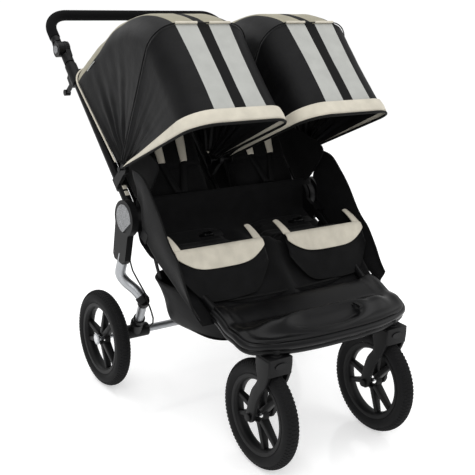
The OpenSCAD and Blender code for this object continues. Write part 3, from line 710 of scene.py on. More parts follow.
def reach_at(slope):
    """Distance from the hood's pivot to its middle, for a slope in degrees."""
    if slope >= HOOD_RIDGE:
        a, b = math.radians(HOOD_RIDGE), math.radians(HOOD_FRONT)
        ra, rb = REACH_RIDGE, REACH_FRONT
        t = math.radians(slope)
        return ra * rb * math.sin(b - a) / (ra * math.sin(t - a) + rb * math.sin(b - t))
    for (s0, r0), (s1, r1) in zip(HOOD_REACH, HOOD_REACH[1:]):
        if slope <= s1:
            t = (slope - s0) / (s1 - s0)
            return r0 + (r1 - r0) * (t * t * (3 - 2 * t) * 0.4 + t * 0.6)
    return HOOD_REACH[-1][1]


def hood_arch(u, reach, half, foot=HOOD_FOOT):
    """A point on the arch outline, as (across, out), for u from 0 at the outer foot to 1 at the inner foot."""
    r = SHOULDER
    side = reach - r - foot
    turn = math.pi / 2 * r
    flat = 2 * (half - r)
    total = 2 * side + 2 * turn + flat
    d = u * total
    if d < side:
        return half, foot + d
    d -= side
    if d < turn:
        a = d / r
        return half - r + r * math.cos(a), reach - r + r * math.sin(a)
    d -= turn
    if d < flat:
        return half - r - d, reach
    d -= flat
    if d < turn:
        a = d / r
        return -(half - r) - r * math.sin(a), reach - r + r * math.cos(a)
    d -= turn
    return -half, foot + side - d


def hood_point(s, u, slope, grow=0.0, pinch=0.0):
    """A point on the hood of side s. pinch pulls the sides in between bows, as stretched cloth does."""
    reach = reach_at(slope) + grow
    half = HOOD_HALF - 0.0015 + grow
    across, out = hood_arch(u, reach, half - pinch)
    a = math.radians(slope)
    return Vector((s * (HOOD_X + across), HOOD.y + out * math.cos(a), HOOD.z + out * math.sin(a)))


def sag(u, v, depth):
    """Cloth pulled in between two bows at v 0 and 1, most on the sides."""
    side = abs(2 * u - 1)
    return depth * math.sin(math.pi * v) * (0.25 + 0.75 * smooth_step(0.25, 0.8, side))


def creases(p, u, v, size):
    """Radial pulls that run out from the hood's pivot, strongest on the sides."""
    side = smooth_step(0.3, 0.75, abs(2 * u - 1))
    fan = math.sin(v * 31 + 3 * noise.noise(p * 7)) * 0.5 + math.sin(v * 53 + 5 * noise.noise(p * 5)) * 0.3
    across = noise.noise(p * 16) * 0.8 + noise.noise(p * 34) * 0.35
    edge = math.sin(math.pi * min(1.0, max(0.0, v))) ** 0.5
    return size * edge * (fan * side + across * (0.35 + 0.65 * side))


STRIPE_EDGES = (0.087, 0.019)       # outer and inner edges of the two pale stripes, from the middle


def even_u(edges, count):
    """Grid columns that fall on the given edges, spread evenly between them."""
    spans = list(zip(edges, edges[1:]))
    total = edges[-1] - edges[0]
    columns = [edges[0]]
    for a, b in spans:
        n = max(1, round(count * (b - a) / total))
        columns += [a + (b - a) * (k + 1) / n for k in range(n)]
    return columns


def u_of_across(reach, across):
    """The arch position whose point on the flat top lies at across."""
    r, foot = SHOULDER, HOOD_FOOT
    half = HOOD_HALF - 0.0015
    side, turn, flat = reach - r - foot, math.pi / 2 * r, 2 * (half - r)
    total = 2 * side + 2 * turn + flat
    return (side + turn + (half - r) - across) / total


def hood_panel(s, slopes, columns, rows, depth, size, choose, warp=lambda u, v: u):
    """One continuous cloth panel between two slopes."""
    nu = len(columns) - 1

    def place(u, v):
        k = u * nu
        i = min(int(k), nu - 1)
        uu = warp(columns[i] + (columns[i + 1] - columns[i]) * (k - i), v)
        slope = slopes[0] + (slopes[1] - slopes[0]) * v
        p = hood_point(s, uu, slope, 0.0, sag(uu, v, depth))
        out = (hood_point(s, uu, slope, 0.01, sag(uu, v, depth)) - p).normalized()
        return p + out * min(0.004, creases(p, uu, v, size) - size * 0.6)

    def pick(u, v):
        k = u * nu
        i = min(int(k), nu - 1)
        return choose(columns[i] + (columns[i + 1] - columns[i]) * (k - i), v)

    return sheet_mesh(nu, rows, place, (1.1, 0.35), pick)


def arc_strip(s, slope_at, grow, width_at, count, u0=0.0, u1=1.0, thick_rows=4):
    """A strip of cloth along a bow: v runs across it from its rear to its front edge."""
    def place(u, v):
        uu = u0 + (u1 - u0) * u
        w = width_at(uu)
        slope = slope_at(uu) - math.degrees(w * (1 - v) / 0.44)
        lift = 0.0015 * math.sin(math.pi * v)
        return hood_point(s, uu, slope, grow + lift, 0.0)
    return sheet_mesh(count, thick_rows, place, (1.1, 0.03))


def outward(o, centre):
    """Turns a piece's faces so that they look away from centre."""
    bm = bmesh.new()
    bm.from_mesh(o.data)
    votes = sum(1 if f.normal.dot(f.calc_center_median() - centre) > 0 else -1 for f in bm.faces)
    if votes < 0:
        bmesh.ops.reverse_faces(bm, faces=bm.faces)
    bm.to_mesh(o.data)
    bm.free()
    return o


class STROLLER_OT_hoods(bpy.types.Operator):
    """Makes the two hoods: cloth panels, bands, piping, seams and the slit on top"""
    bl_idname = "stroller.hoods"
    bl_label = "Hoods"

    def execute(self, context):
        for side, s in SIDES:
            self.make(side, s)
        return {"FINISHED"}

    def make(self, side, s):
        push, mid, front = "push_frame", f"canopy_mid_{side}", f"canopy_front_{side}"
        reach = reach_at(HOOD_RIDGE)
        marks = [0.0, u_of_across(reach, STRIPE_EDGES[0]), u_of_across(reach, STRIPE_EDGES[1]),
                 u_of_across(reach, -STRIPE_EDGES[1]), u_of_across(reach, -STRIPE_EDGES[0]), 1.0]
        columns = even_u(marks, 96)
        thick = sizes().cloth_thickness
        inside = Vector((s * HOOD_X, HOOD.y, HOOD.z + 0.15))

        def front_cloth(u, v):
            return 0 if not marks[1] < u < marks[4] else 2 if marks[2] < u < marks[3] else 1

        bm = hood_panel(s, (HOOD_RIDGE, HOOD_FRONT), columns, 44, 0.009, 0.0042, front_cloth)
        o = piece(f"hood_front_{side}", bm, ("nylon", "stripe", "binding"),
                  replaces=[f"canopy_front_{side}"])
        outward(o, inside)
        cloth(o, (1.10, 0.31), "stretched", f"ridge_bow_{side}", f"front_bow_{side}")
        thicken(o, thick)
        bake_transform(o)

        shoulder = 0.112
        top_marks = [0.0, u_of_across(reach, shoulder), u_of_across(reach, 0.015), u_of_across(reach, -0.015),
                     u_of_across(reach, -shoulder), 1.0]

        def top_cloth(u, v):
            if not top_marks[1] < u < top_marks[4]:
                return 0
            slit = top_marks[2] < u < top_marks[3] and 0.42 < v < 1.0
            return 2 if slit else 1

        def widen(u, v):
            """Moves the pale cloth's edge columns out towards the rear."""
            edge = 0.5 - (0.5 - marks[1]) * (1.0 + 1.3 * smooth_step(0.0, 0.8, 1 - v))
            near, slit, c = top_marks[1], top_marks[2], min(u, 1 - u)
            if c < near:
                c *= edge / near
            elif c < slit:
                c = edge + (c - near) * (slit - edge) / (slit - near)
            return c if u < 0.5 else 1 - c

        top_columns = even_u([0.0, *sorted(top_marks[1:5]), 1.0], 110)
        bm = hood_panel(s, (HOOD_BACK, HOOD_RIDGE), top_columns, 64, 0.014, 0.0052, top_cloth, widen)
        o = piece(f"hood_top_{side}", bm, ("nylon", "taupe", "binding"),
                  replaces=[f"canopy_rear_{side}", f"canopy_mid_{side}"])
        outward(o, inside)
        cloth(o, (1.10, 0.56), "stretched", f"ridge_bow_{side}", "push_tubes")
        thicken(o, thick)
        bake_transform(o)

        band = sizes().band_width

        def band_width(u):
            foot = min(u, 1 - u)
            return band + 0.020 * (1 - smooth_step(0.0, 0.10, foot)) * smooth_step(0.0, 0.03, foot)

        bm = arc_strip(s, lambda u: HOOD_FRONT + 1.6, 0.0026, band_width, 120, 0.0, 1.0, 5)
        o = piece(f"hood_band_{side}", bm, "cream", front)
        outward(o, inside)
        cloth(o, (1.10, 0.04), "stretched", f"hood_front_{side}")
        thicken(o, 1.6 * MM)
        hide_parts(f"front_bow_{side}")
        edge = [hood_point(s, k / 60, HOOD_FRONT + 2.2, 0.001, 0.0) for k in range(61)]
        piece(f"hood_binding_{side}", tube_mesh(edge, 3.6 * MM), "binding", front)
        rim = [hood_point(s, k / 60, HOOD_BACK + 0.2, 0.002, 0.0) for k in range(61)]
        piece(f"hood_piping_{side}", tube_mesh(rim, 2.6 * MM), "cream", push)
        ridge = [hood_point(s, k / 48, HOOD_RIDGE, 0.0015, 0.0) for k in range(49)]
        o = piece(f"hood_ridge_seam_{side}", tube_mesh(ridge, 1.8 * MM), "nylon", mid,
                  [f"ridge_bow_{side}"])
        for k, (a, b) in enumerate(((marks[1], marks[2]), (marks[3], marks[4]))):
            roll = [hood_point(s, a + (b - a) * j / 12, HOOD_RIDGE, 0.0028, 0.0) for j in range(13)]
            piece(f"hood_ridge_roll_{side}_{k}", tube_mesh(roll, 3.4 * MM), "cream", mid)
        dash = [hood_point(s, 0.31, 49 + 3.2 * j, 0.0024, 0.008) for j in range(4)]
        dash = [p + Vector((s * 0.001, 0, 0)) for p in dash]
        piece(f"hood_reflector_{side}", tube_mesh(dash, 1.6 * MM, 8), "stripe", push)

    @staticmethod
    def at(s, radius, slope):
        a = math.radians(slope)
        return Vector((s * HOOD_X, HOOD.y + radius * math.cos(a), HOOD.z + radius * math.sin(a)))


# ---- seats ----
def swell(o, most):
    """Fills a pad by cloth simulation: a voxel remesh, then pressure with no gravity, each point's travel capped."""
    bpy.ops.object.select_all(action="DESELECT")
    o.select_set(True)
    bpy.context.view_layer.objects.active = o
    o.data.remesh_voxel_size = 6 * MM
    bpy.ops.object.voxel_remesh()
    start = [v.co.copy() for v in o.data.vertices]
    m = o.modifiers.new("cloth", "CLOTH")
    m.settings.use_pressure = True
    m.settings.uniform_pressure_force = 4.0
    m.settings.quality = 5
    m.settings.effector_weights.gravity = 0
    m.point_cache.frame_start, m.point_cache.frame_end = 1, 20
    scene = bpy.context.scene
    for f in range(1, 21):
        scene.frame_set(f)
    done = o.evaluated_get(bpy.context.evaluated_depsgraph_get())
    places = [v.co.copy() for v in done.data.vertices]
    o.modifiers.remove(m)
    for v, a, b in zip(o.data.vertices, start, places):
        d = b - a
        v.co = a + d * min(1.0, most / max(d.length, 1e-9))
    scene.frame_set(1)
    o.data.shade_smooth()
    return o


def cushion_mesh(place, nu, nv):
    """A closed pad: an upper and a lower sheet, joined round the rim. place(u, v, side) gives each."""
    top = sheet_mesh(nu, nv, lambda u, v: place(u, v, 1))
    low = flip(sheet_mesh(nu, nv, lambda u, v: place(u, v, -1)))
    bm = joined(top, low)
    bmesh.ops.remove_doubles(bm, verts=bm.verts, dist=1e-5)
    rim = [e for e in bm.edges if len(e.link_faces) == 1]
    if rim:
        bmesh.ops.bridge_loops(bm, edges=rim)
    bmesh.ops.recalc_face_normals(bm, faces=bm.faces)
    return bm


BACK_SLOPE = math.radians(56)       # of the seat backs at rest, above the floor
# The seat's top line in the side view, from the fold shaft, and the hanging flap that follows it
SEAT_TOP = [(-0.040, -0.034), (-0.072, -0.056), (-0.130, -0.068), (-0.190, -0.054), (-0.226, -0.040),
            (-0.243, -0.040), (-0.252, -0.050)]
FLAP = [(-0.254, -0.046), (-0.268, -0.066), (-0.286, -0.094), (-0.306, -0.126), (-0.328, -0.160)]


def side_line(points, t):
    """A point on a smooth side-view line given from the fold shaft."""
    p = curve_through([(*q, 0) for q in points], 41)
    k = t * 40
    i = min(int(k), 39)
    q = p[i].lerp(p[i + 1], k - i)
    return from_shaft(q.x, q.y)


class STROLLER_OT_seats(bpy.types.Operator):
    """Makes the seat sling, pads, front flaps, pale strips, backs, straps and buckles"""
    bl_idname = "stroller.seats"
    bl_label = "Seats"

    def execute(self, context):
        self.sling()
        for side, s in SIDES:
            self.pad(side, s)
            self.flap(side, s)
            self.back(side, s)
            self.harness(side, s)
        return {"FINISHED"}

    def sling(self):
        """The cloth under both seats, and the raised divider between them."""
        line = [(-0.020, 0.060), (-0.034, -0.044), (-0.070, -0.074), (-0.130, -0.090), (-0.222, -0.062),
                (-0.248, -0.078), (-0.280, -0.118), (-0.318, -0.158), (-0.352, -0.184), (-0.386, -0.198)]
        wide = PAD_OUT + 0.001

        def place(u, v):
            x = (2 * u - 1) * wide
            y, z = side_line(line, v)
            middle = math.exp(-(x / 0.030) ** 2)
            return x, y - 0.006 * middle * (v > 0.5), z + 0.022 * middle * smooth_step(0.1, 0.4, v)

        o = piece("seat_sling", sheet_mesh(60, 60, place, (0.6, 0.5)), "seat", "front_frame",
                  ["seat_base"])
        cloth(o, (0.64, 0.50), "hung", "side_tubes", "fold_shaft")
        thicken(o, 2 * MM, 0.0)

    def pad(self, side, s):
        def place(u, v, face):
            edge_x = SEAT_OUT + (PAD_OUT - SEAT_OUT) * smooth_step(0.45, 0.75, v)
            x = SEAT_IN + 0.006 + (edge_x - SEAT_IN - 0.008) * u
            y, z = side_line(SEAT_TOP, 0.02 + 0.96 * v)
            edge = (math.sin(math.pi * u) ** 0.35) * (math.sin(math.pi * v) ** 0.35)
            drop = -0.020 * (1 - edge) if face > 0 else -0.020
            dish = -0.010 * math.sin(math.pi * u) * math.sin(math.pi * min(1, v * 1.2)) if face > 0 else 0
            return s * x, y, z + drop * 0.9 + dish + (0.004 if face > 0 else 0)

        o = piece(f"seat_pad_{side}", cushion_mesh(place, 30, 30), "seat", smooth=0)
        swell(o, sizes().pad_swell)
        self.quilt(o, s)
        soften(o)
        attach(o, "front_frame")

    @staticmethod
    def quilt(o, s):
        """Presses two sewn channels across a pad after it has swelled."""
        for v in o.data.vertices:
            if v.co.z > SHAFT.z - 0.075:
                for y in (-0.105, -0.170):
                    d = (v.co.y - SHAFT.y - y) / 0.006
                    v.co.z -= 0.004 * math.exp(-d * d)

    def flap(self, side, s):
        """The front flap with its round lower corners, and the pale strip with two side tabs above it."""
        mid = (SEAT_IN + PAD_OUT) / 2 + 0.008
        half = (PAD_OUT - SEAT_IN) / 2 + 0.008

        def outline(u, v):
            x = (2 * u - 1) * half
            end = 1.0 - 0.55 * max(0.0, abs(2 * u - 1) - 0.35) ** 2.2 / 0.65 ** 2.2
            return x, v * end

        def place(u, v):
            x, t = outline(u, v)
            y, z = side_line(FLAP, t)
            wave = 0.004 * math.sin(u * 9 + v * 3) * v + 0.003 * noise.noise(Vector((u * 4, v * 4, s * 3)))
            return s * (mid + x), y - 0.006 - wave, z + 0.002

        o = piece(f"seat_flap_{side}", sheet_mesh(48, 28, place, (0.26, 0.17)), "seat", "front_frame",
                  ["seat_pads"] if s > 0 else [])
        cloth(o, (0.29, 0.14), "hung", f"seat_pad_{side}")
        thicken(o, 2.4 * MM, 0.0)
        rim = [Vector(place(0.5 + 0.5 * math.cos(math.pi * (1 - k / 40)) * 0.998, 1.0)) for k in range(41)]
        piece(f"seat_flap_binding_{side}", tube_mesh(rim, 2.2 * MM), "binding", "front_frame")

        strip_line = [(-0.214, -0.040), (-0.236, -0.034), (-0.252, -0.038), (-0.268, -0.062), (-0.282, -0.086)]

        def strip(u, v):
            x = (2 * u - 1) * (half - 0.002)
            edge = abs(2 * u - 1)
            bottom = 0.62 + 0.38 * (1 - edge ** 3.0)
            y, z = side_line(strip_line, 0.30 + (bottom - 0.30) * v)
            fold = 0.0016 * math.sin(u * 44 + 3 * noise.noise(Vector((u * 6, s, 0)))) * math.sin(math.pi * v)
            return s * (mid + x), y - 0.010 - fold, z + 0.004 + 0.4 * fold

        o = piece(f"seat_strip_{side}", sheet_mesh(64, 14, strip, (0.26, 0.05)), "cream", "front_frame")
        cloth(o, (0.29, 0.06), "laid", f"seat_pad_{side}")
        thicken(o, 4 * MM, 0.0)
        soften(o)
        for k in (-1, 1):
            def tab(u, v, k=k):
                x = mid + k * (half - 0.014) + (u - 0.5) * 0.026 * (1 - 0.3 * v)
                y, z = from_shaft(-0.250 + 0.060 * v, -0.032 + 0.034 * v - 0.010 * v * v)
                return s * (x + k * 0.002 * v), y, z + 0.003 * math.sin(math.pi * u)

            o = piece(f"seat_tab_{side}_{'out' if k > 0 else 'in'}", sheet_mesh(10, 14, tab, (0.03, 0.06)), "cream",
                      "front_frame")
            cloth(o, (0.026, 0.07), "laid", f"seat_strip_{side}")
            thicken(o, 5 * MM, 0.0)
            soften(o)

    def back(self, side, s):
        """The seat back: a padded front with a sewn border, on its board."""
        body = f"seat_back_{side}"
        slope = BACK_SLOPE
        up = Vector((0, math.cos(slope), math.sin(slope)))
        out = Vector((0, -math.sin(slope), math.cos(slope)))
        length = 0.405

        def place(u, v, face):
            x = SEAT_IN + 0.004 + (SEAT_OUT - SEAT_IN - 0.008) * u
            edge = (max(0.0, math.sin(math.pi * u)) ** 0.3) * (max(0.0, math.sin(math.pi * v)) ** 0.3)
            thick = (0.026 if face > 0 else 0.0) * edge + (0.004 if face > 0 else 0.0)
            p = Vector((s * x, SHAFT.y, SHAFT.z)) + up * (0.030 + (length - 0.034) * v) + out * (0.004 + thick)
            return p

        o = piece(f"seat_back_pad_{side}", cushion_mesh(place, 28, 40), "seat", smooth=0)
        swell(o, 6 * MM)
        for v in o.data.vertices:
            d = (v.co - Vector((0, SHAFT.y, SHAFT.z))).dot(up)
            if (v.co - Vector((0, SHAFT.y, SHAFT.z))).dot(out) > 0.012:
                for y in (0.13, 0.26):
                    v.co -= out * 0.004 * math.exp(-((d - y) / 0.006) ** 2)
        soften(o)
        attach(o, body)
        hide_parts(f"seat_back_{side}")
        turn = Matrix.Rotation(slope, 4, "X")
        centre = Vector((s * SEAT_X, SHAFT.y, SHAFT.z)) + up * 0.20 - out * 0.001
        board = block((SEAT_OUT - SEAT_IN - 0.006, 0.375, 0.008), centre, 3 * MM, turn)
        piece(f"seat_board_{side}", board, "seat", body)
        sleeve = drum(13 * MM, s * (SEAT_IN + 0.002), s * (SEAT_OUT - 0.002), SHAFT.y, SHAFT.z, 2 * MM)
        piece(f"seat_back_sleeve_{side}", sleeve, "seat", body)

    def harness(self, side, s):
        up = Vector((0, math.cos(BACK_SLOPE), math.sin(BACK_SLOPE)))
        out = Vector((0, -math.sin(BACK_SLOPE), math.cos(BACK_SLOPE)))
        base = Vector((s * SEAT_X, SHAFT.y, SHAFT.z))
        body = f"seat_back_{side}"
        for k in (-1, 1):
            def strap(u, v, k=k):
                across = k * (0.048 - 0.010 * (1 - v)) + (u - 0.5) * 0.034 * (0.75 + 0.25 * math.sin(math.pi * v))
                lift = 0.040 + 0.006 * math.sin(math.pi * u) + 0.006 * math.sin(math.pi * v)
                return base + Vector((across, 0, 0)) + up * (0.14 + 0.20 * v) + out * lift

            o = piece(f"shoulder_pad_{side}_{'a' if k < 0 else 'b'}", sheet_mesh(8, 24, strap, (0.034, 0.2)), "cream",
                      body, [f"harness_{side}"] if k < 0 else [])
            cloth(o, (0.034, 0.20), "laid", f"seat_back_pad_{side}")
            thicken(o, 5 * MM)
            soften(o)

            def web(u, v, k=k):
                across = k * (0.038 - 0.028 * (1 - v)) + (u - 0.5) * 0.022
                lift = 0.040 - 0.004 * v
                return base + Vector((across, 0, 0)) + up * (0.045 + 0.10 * v) + out * lift

            o = piece(f"shoulder_web_{side}_{'a' if k < 0 else 'b'}", sheet_mesh(2, 16, web, (0.022, 0.1)), "webbing",
                      body)
            cloth(o, (0.022, 0.10), "laid", f"seat_back_pad_{side}")
            thicken(o, 1.6 * MM, 0.0)
        y, z = from_shaft(-0.158, -0.030)
        turn = Matrix.Rotation(math.radians(-20), 4, "X")
        at = Vector((s * SEAT_X, y, z))
        buckle = joined(block((0.044, 0.036, 0.010), at, 4 * MM, turn), block((0.020, 0.020, 0.005),
                        at + Vector((0, 0.002, 0.006)), 2 * MM, turn))
        piece(f"crotch_buckle_{side}", buckle, "gloss", "front_frame",
              ["harness_buckles"] if s > 0 else [])

        def crotch(u, v):
            y, z = from_shaft(-0.215 + 0.045 * v, -0.022 - 0.004 * v + 0.010 * math.sin(math.pi * v))
            return s * SEAT_X + (u - 0.5) * 0.030, y, z + 0.006

        o = piece(f"crotch_strap_{side}", sheet_mesh(2, 12, crotch, (0.03, 0.05)), "webbing", "front_frame")
        cloth(o, (0.03, 0.05), "laid", f"seat_pad_{side}")
        thicken(o, 1.8 * MM, 0.0)


# ---- side wings and the cloth behind the seats ----
class STROLLER_OT_wings(bpy.types.Operator):
    """Makes the cloth side walls, the bound edges and the cloth behind the seats"""
    bl_idname = "stroller.wings"
    bl_label = "Side walls"

    def execute(self, context):
        upper = [(-0.036, 0.150), (-0.090, 0.142), (-0.140, 0.104), (-0.186, 0.058), (-0.226, 0.007),
                 (-0.253, -0.018), (-0.285, -0.042), (-0.322, -0.090), (-0.348, -0.128), (-0.375, -0.160)]
        lower = [(-0.030, 0.062), (-0.052, 0.040), (-0.066, -0.030), (-0.100, -0.062), (-0.150, -0.090),
                 (-0.200, -0.112), (-0.250, -0.134), (-0.300, -0.154), (-0.340, -0.172), (-0.380, -0.186)]
        for side, s in SIDES:
            def wall(u, v):
                a, b = side_line(lower, u), side_line(upper, u)
                y, z = a[0] + (b[0] - a[0]) * v, a[1] + (b[1] - a[1]) * v
                puff = 0.006 * math.sin(math.pi * v) * math.sin(math.pi * u) ** 0.5
                ripple = 0.002 * noise.noise(Vector((y * 14, z * 14, s * 5)))
                lean = 0.020 * smooth_step(0.1, 1.0, v)
                return s * (PAD_OUT + 0.003 + lean + puff * 0.5 + ripple), y, z

            o = piece(f"seat_wall_{side}", sheet_mesh(56, 26, wall, (0.35, 0.2)), "seat", "front_frame",
                      ["side_wings"] if s > 0 else [])
            cloth(o, (0.36, 0.20), "stretched", "side_tubes")
            thicken(o, 2 * MM, 0.0)
            rim = [Vector(wall(k / 50, 1.0)) for k in range(51)]
            piece(f"seat_wall_binding_{side}", tube_mesh(rim, 3 * MM), "binding", "front_frame")

            def upper_wall(u, v):
                a = along_push(0.056 + 0.30 * u, 0.015)
                top = [(-0.076, 0.112), (-0.100, 0.172), (0.0, 0.205), (0.090, 0.214), (0.190, 0.262)]
                start = side_line([(-0.026, 0.052), (-0.060, 0.090), *top[1:]], u)
                y, z = a[0] + (start[0] - a[0]) * v, a[1] + (start[1] - a[1]) * v
                ripple = 0.002 * noise.noise(Vector((y * 12, z * 12, s * 9)))
                return s * (0.2975 + ripple), y, z

            o = piece(f"upper_wall_{side}", sheet_mesh(40, 24, upper_wall, (0.3, 0.2)), "seat", "push_frame",
                      ["upper_wings"] if s > 0 else [])
            cloth(o, (0.30, 0.16), "stretched", "push_tubes")
            thicken(o, 1.6 * MM, 0.0)

        def behind(u, v):
            """The cloth pocket that hangs behind the push tubes."""
            x = (2 * u - 1) * 0.288
            y, z = along_push(0.045 + 0.470 * v, -0.016)
            edge = math.sin(math.pi * u) ** 0.4
            hang = 0.050 * edge * math.sin(math.pi * min(1.0, v * 0.9 + 0.05)) ** 0.7
            c, sn = math.cos(PUSH_SLOPE), math.sin(PUSH_SLOPE)
            ripple = 0.004 * noise.noise(Vector((x * 9, v * 5, 2)))
            return x, y + (hang + ripple) * sn, z - (hang + ripple) * c

        o = piece("back_pocket", sheet_mesh(56, 40, behind, (0.6, 0.45)), "seat", "push_frame")
        cloth(o, (0.62, 0.47), "hung", "push_tubes")
        thicken(o, 1.8 * MM, 0.0)
        return {"FINISHED"}


# ---- basket ----
class STROLLER_OT_basket(bpy.types.Operator):
    """Makes the hanging basket, its bound rim and its straps"""
    bl_idname = "stroller.basket"
    bl_label = "Basket"

    def execute(self, context):
        low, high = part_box("basket")
        cx, cy = (low.x + high.x) / 2, (low.y + high.y) / 2
        half_x, half_y = (high.x - low.x) / 2 + 0.024, (high.y - low.y) / 2 + 0.006

        def ring(a, hx, hy):
            """A rounded rectangle of corner radius, at angle a."""
            k = 5.0
            c, sn = math.cos(a), math.sin(a)
            r = (abs(c / hx) ** k + abs(sn / hy) ** k) ** (-1 / k)
            return r * c, r * sn

        def wide(y):
            """How far the bag reaches out towards the side tubes, which come together forwards."""
            return (0.292 - 0.068 * smooth_step(0.06, 0.46, SHAFT.y - cy - y)) / half_x

        def wall(u, v):
            a = math.tau * u
            belly = 1.0 - 0.14 * (1 - v) ** 1.6
            x, y = ring(a, half_x * belly, half_y * belly)
            z = low.z + 0.006 + (high.z - low.z - 0.004) * v
            sagging = 0.006 * math.sin(a * 6 + 1.3) * math.sin(math.pi * v)
            dip = 0.010 * math.cos(2 * a) * smooth_step(0.7, 1.0, v)
            n = 0.004 * noise.noise(Vector((x * 10, y * 10, z * 14)))
            k = 1 + (sagging + n) / 0.2
            return cx + x * k * 0.995 * wide(y), cy + y * k * 0.995, z - max(0.0, dip)

        bm = sheet_mesh(112, 18, wall, (1.5, 0.14), wrap=True)
        floor = sheet_mesh(24, 20, lambda u, v: (
            cx + ring(math.atan2(v - 0.5, u - 0.5), half_x * 0.86, half_y * 0.86)[0]
            * max(abs(2 * u - 1), abs(2 * v - 1)) * wide((v - 0.5) * 1.7 * half_y),
            cy + ring(math.atan2(v - 0.5, u - 0.5), half_x * 0.86, half_y * 0.86)[1]
            * max(abs(2 * u - 1), abs(2 * v - 1)) * 0.985,
            low.z + 0.007 - 0.004 * (1 - max(abs(2 * u - 1), abs(2 * v - 1)))), (0.4, 0.3))
        o = piece("basket_cloth", joined(bm, floor), "nylon", "front_frame", ["basket"])
        cloth(o, (0.75, 0.62), "hung", "side_tubes")
        thicken(o, 1.6 * MM, 0.0)
        rim = [Vector(wall(k / 72, 1.0)) for k in range(73)]
        piece("basket_rim", tube_mesh(rim, 4 * MM), "binding", "front_frame")
        for side, s in SIDES:
            for k, y in enumerate((-0.10, -0.26)):
                top = Vector((s * (0.318 - 0.068 * smooth_step(0.06, 0.46, -y) - 0.004), SHAFT.y + y,
                              SHAFT.z + y * 0.475 - 0.012))
                foot = Vector((s * (half_x * wide(SHAFT.y + y - cy) - 0.008), SHAFT.y + y, high.z - 0.004))

                def strap(u, v, a=foot, b=top):
                    p = a.lerp(b, v)
                    return p.x, p.y + (u - 0.5) * 0.020, p.z - 0.004 * math.sin(math.pi * v)

                o = piece(f"basket_strap_{side}_{k}", sheet_mesh(2, 12, strap, (0.02, 0.1)), "webbing",
                          "front_frame")
                cloth(o, (0.02, 0.12), "hung", "side_tubes")
                thicken(o, 1.6 * MM, 0.0)
        return {"FINISHED"}


# ---- frame finishes and mouldings ----
RIB_X, RIB_RING = 0.312, 0.0253     # where the hinge's ribs stand across, and how far from its axis


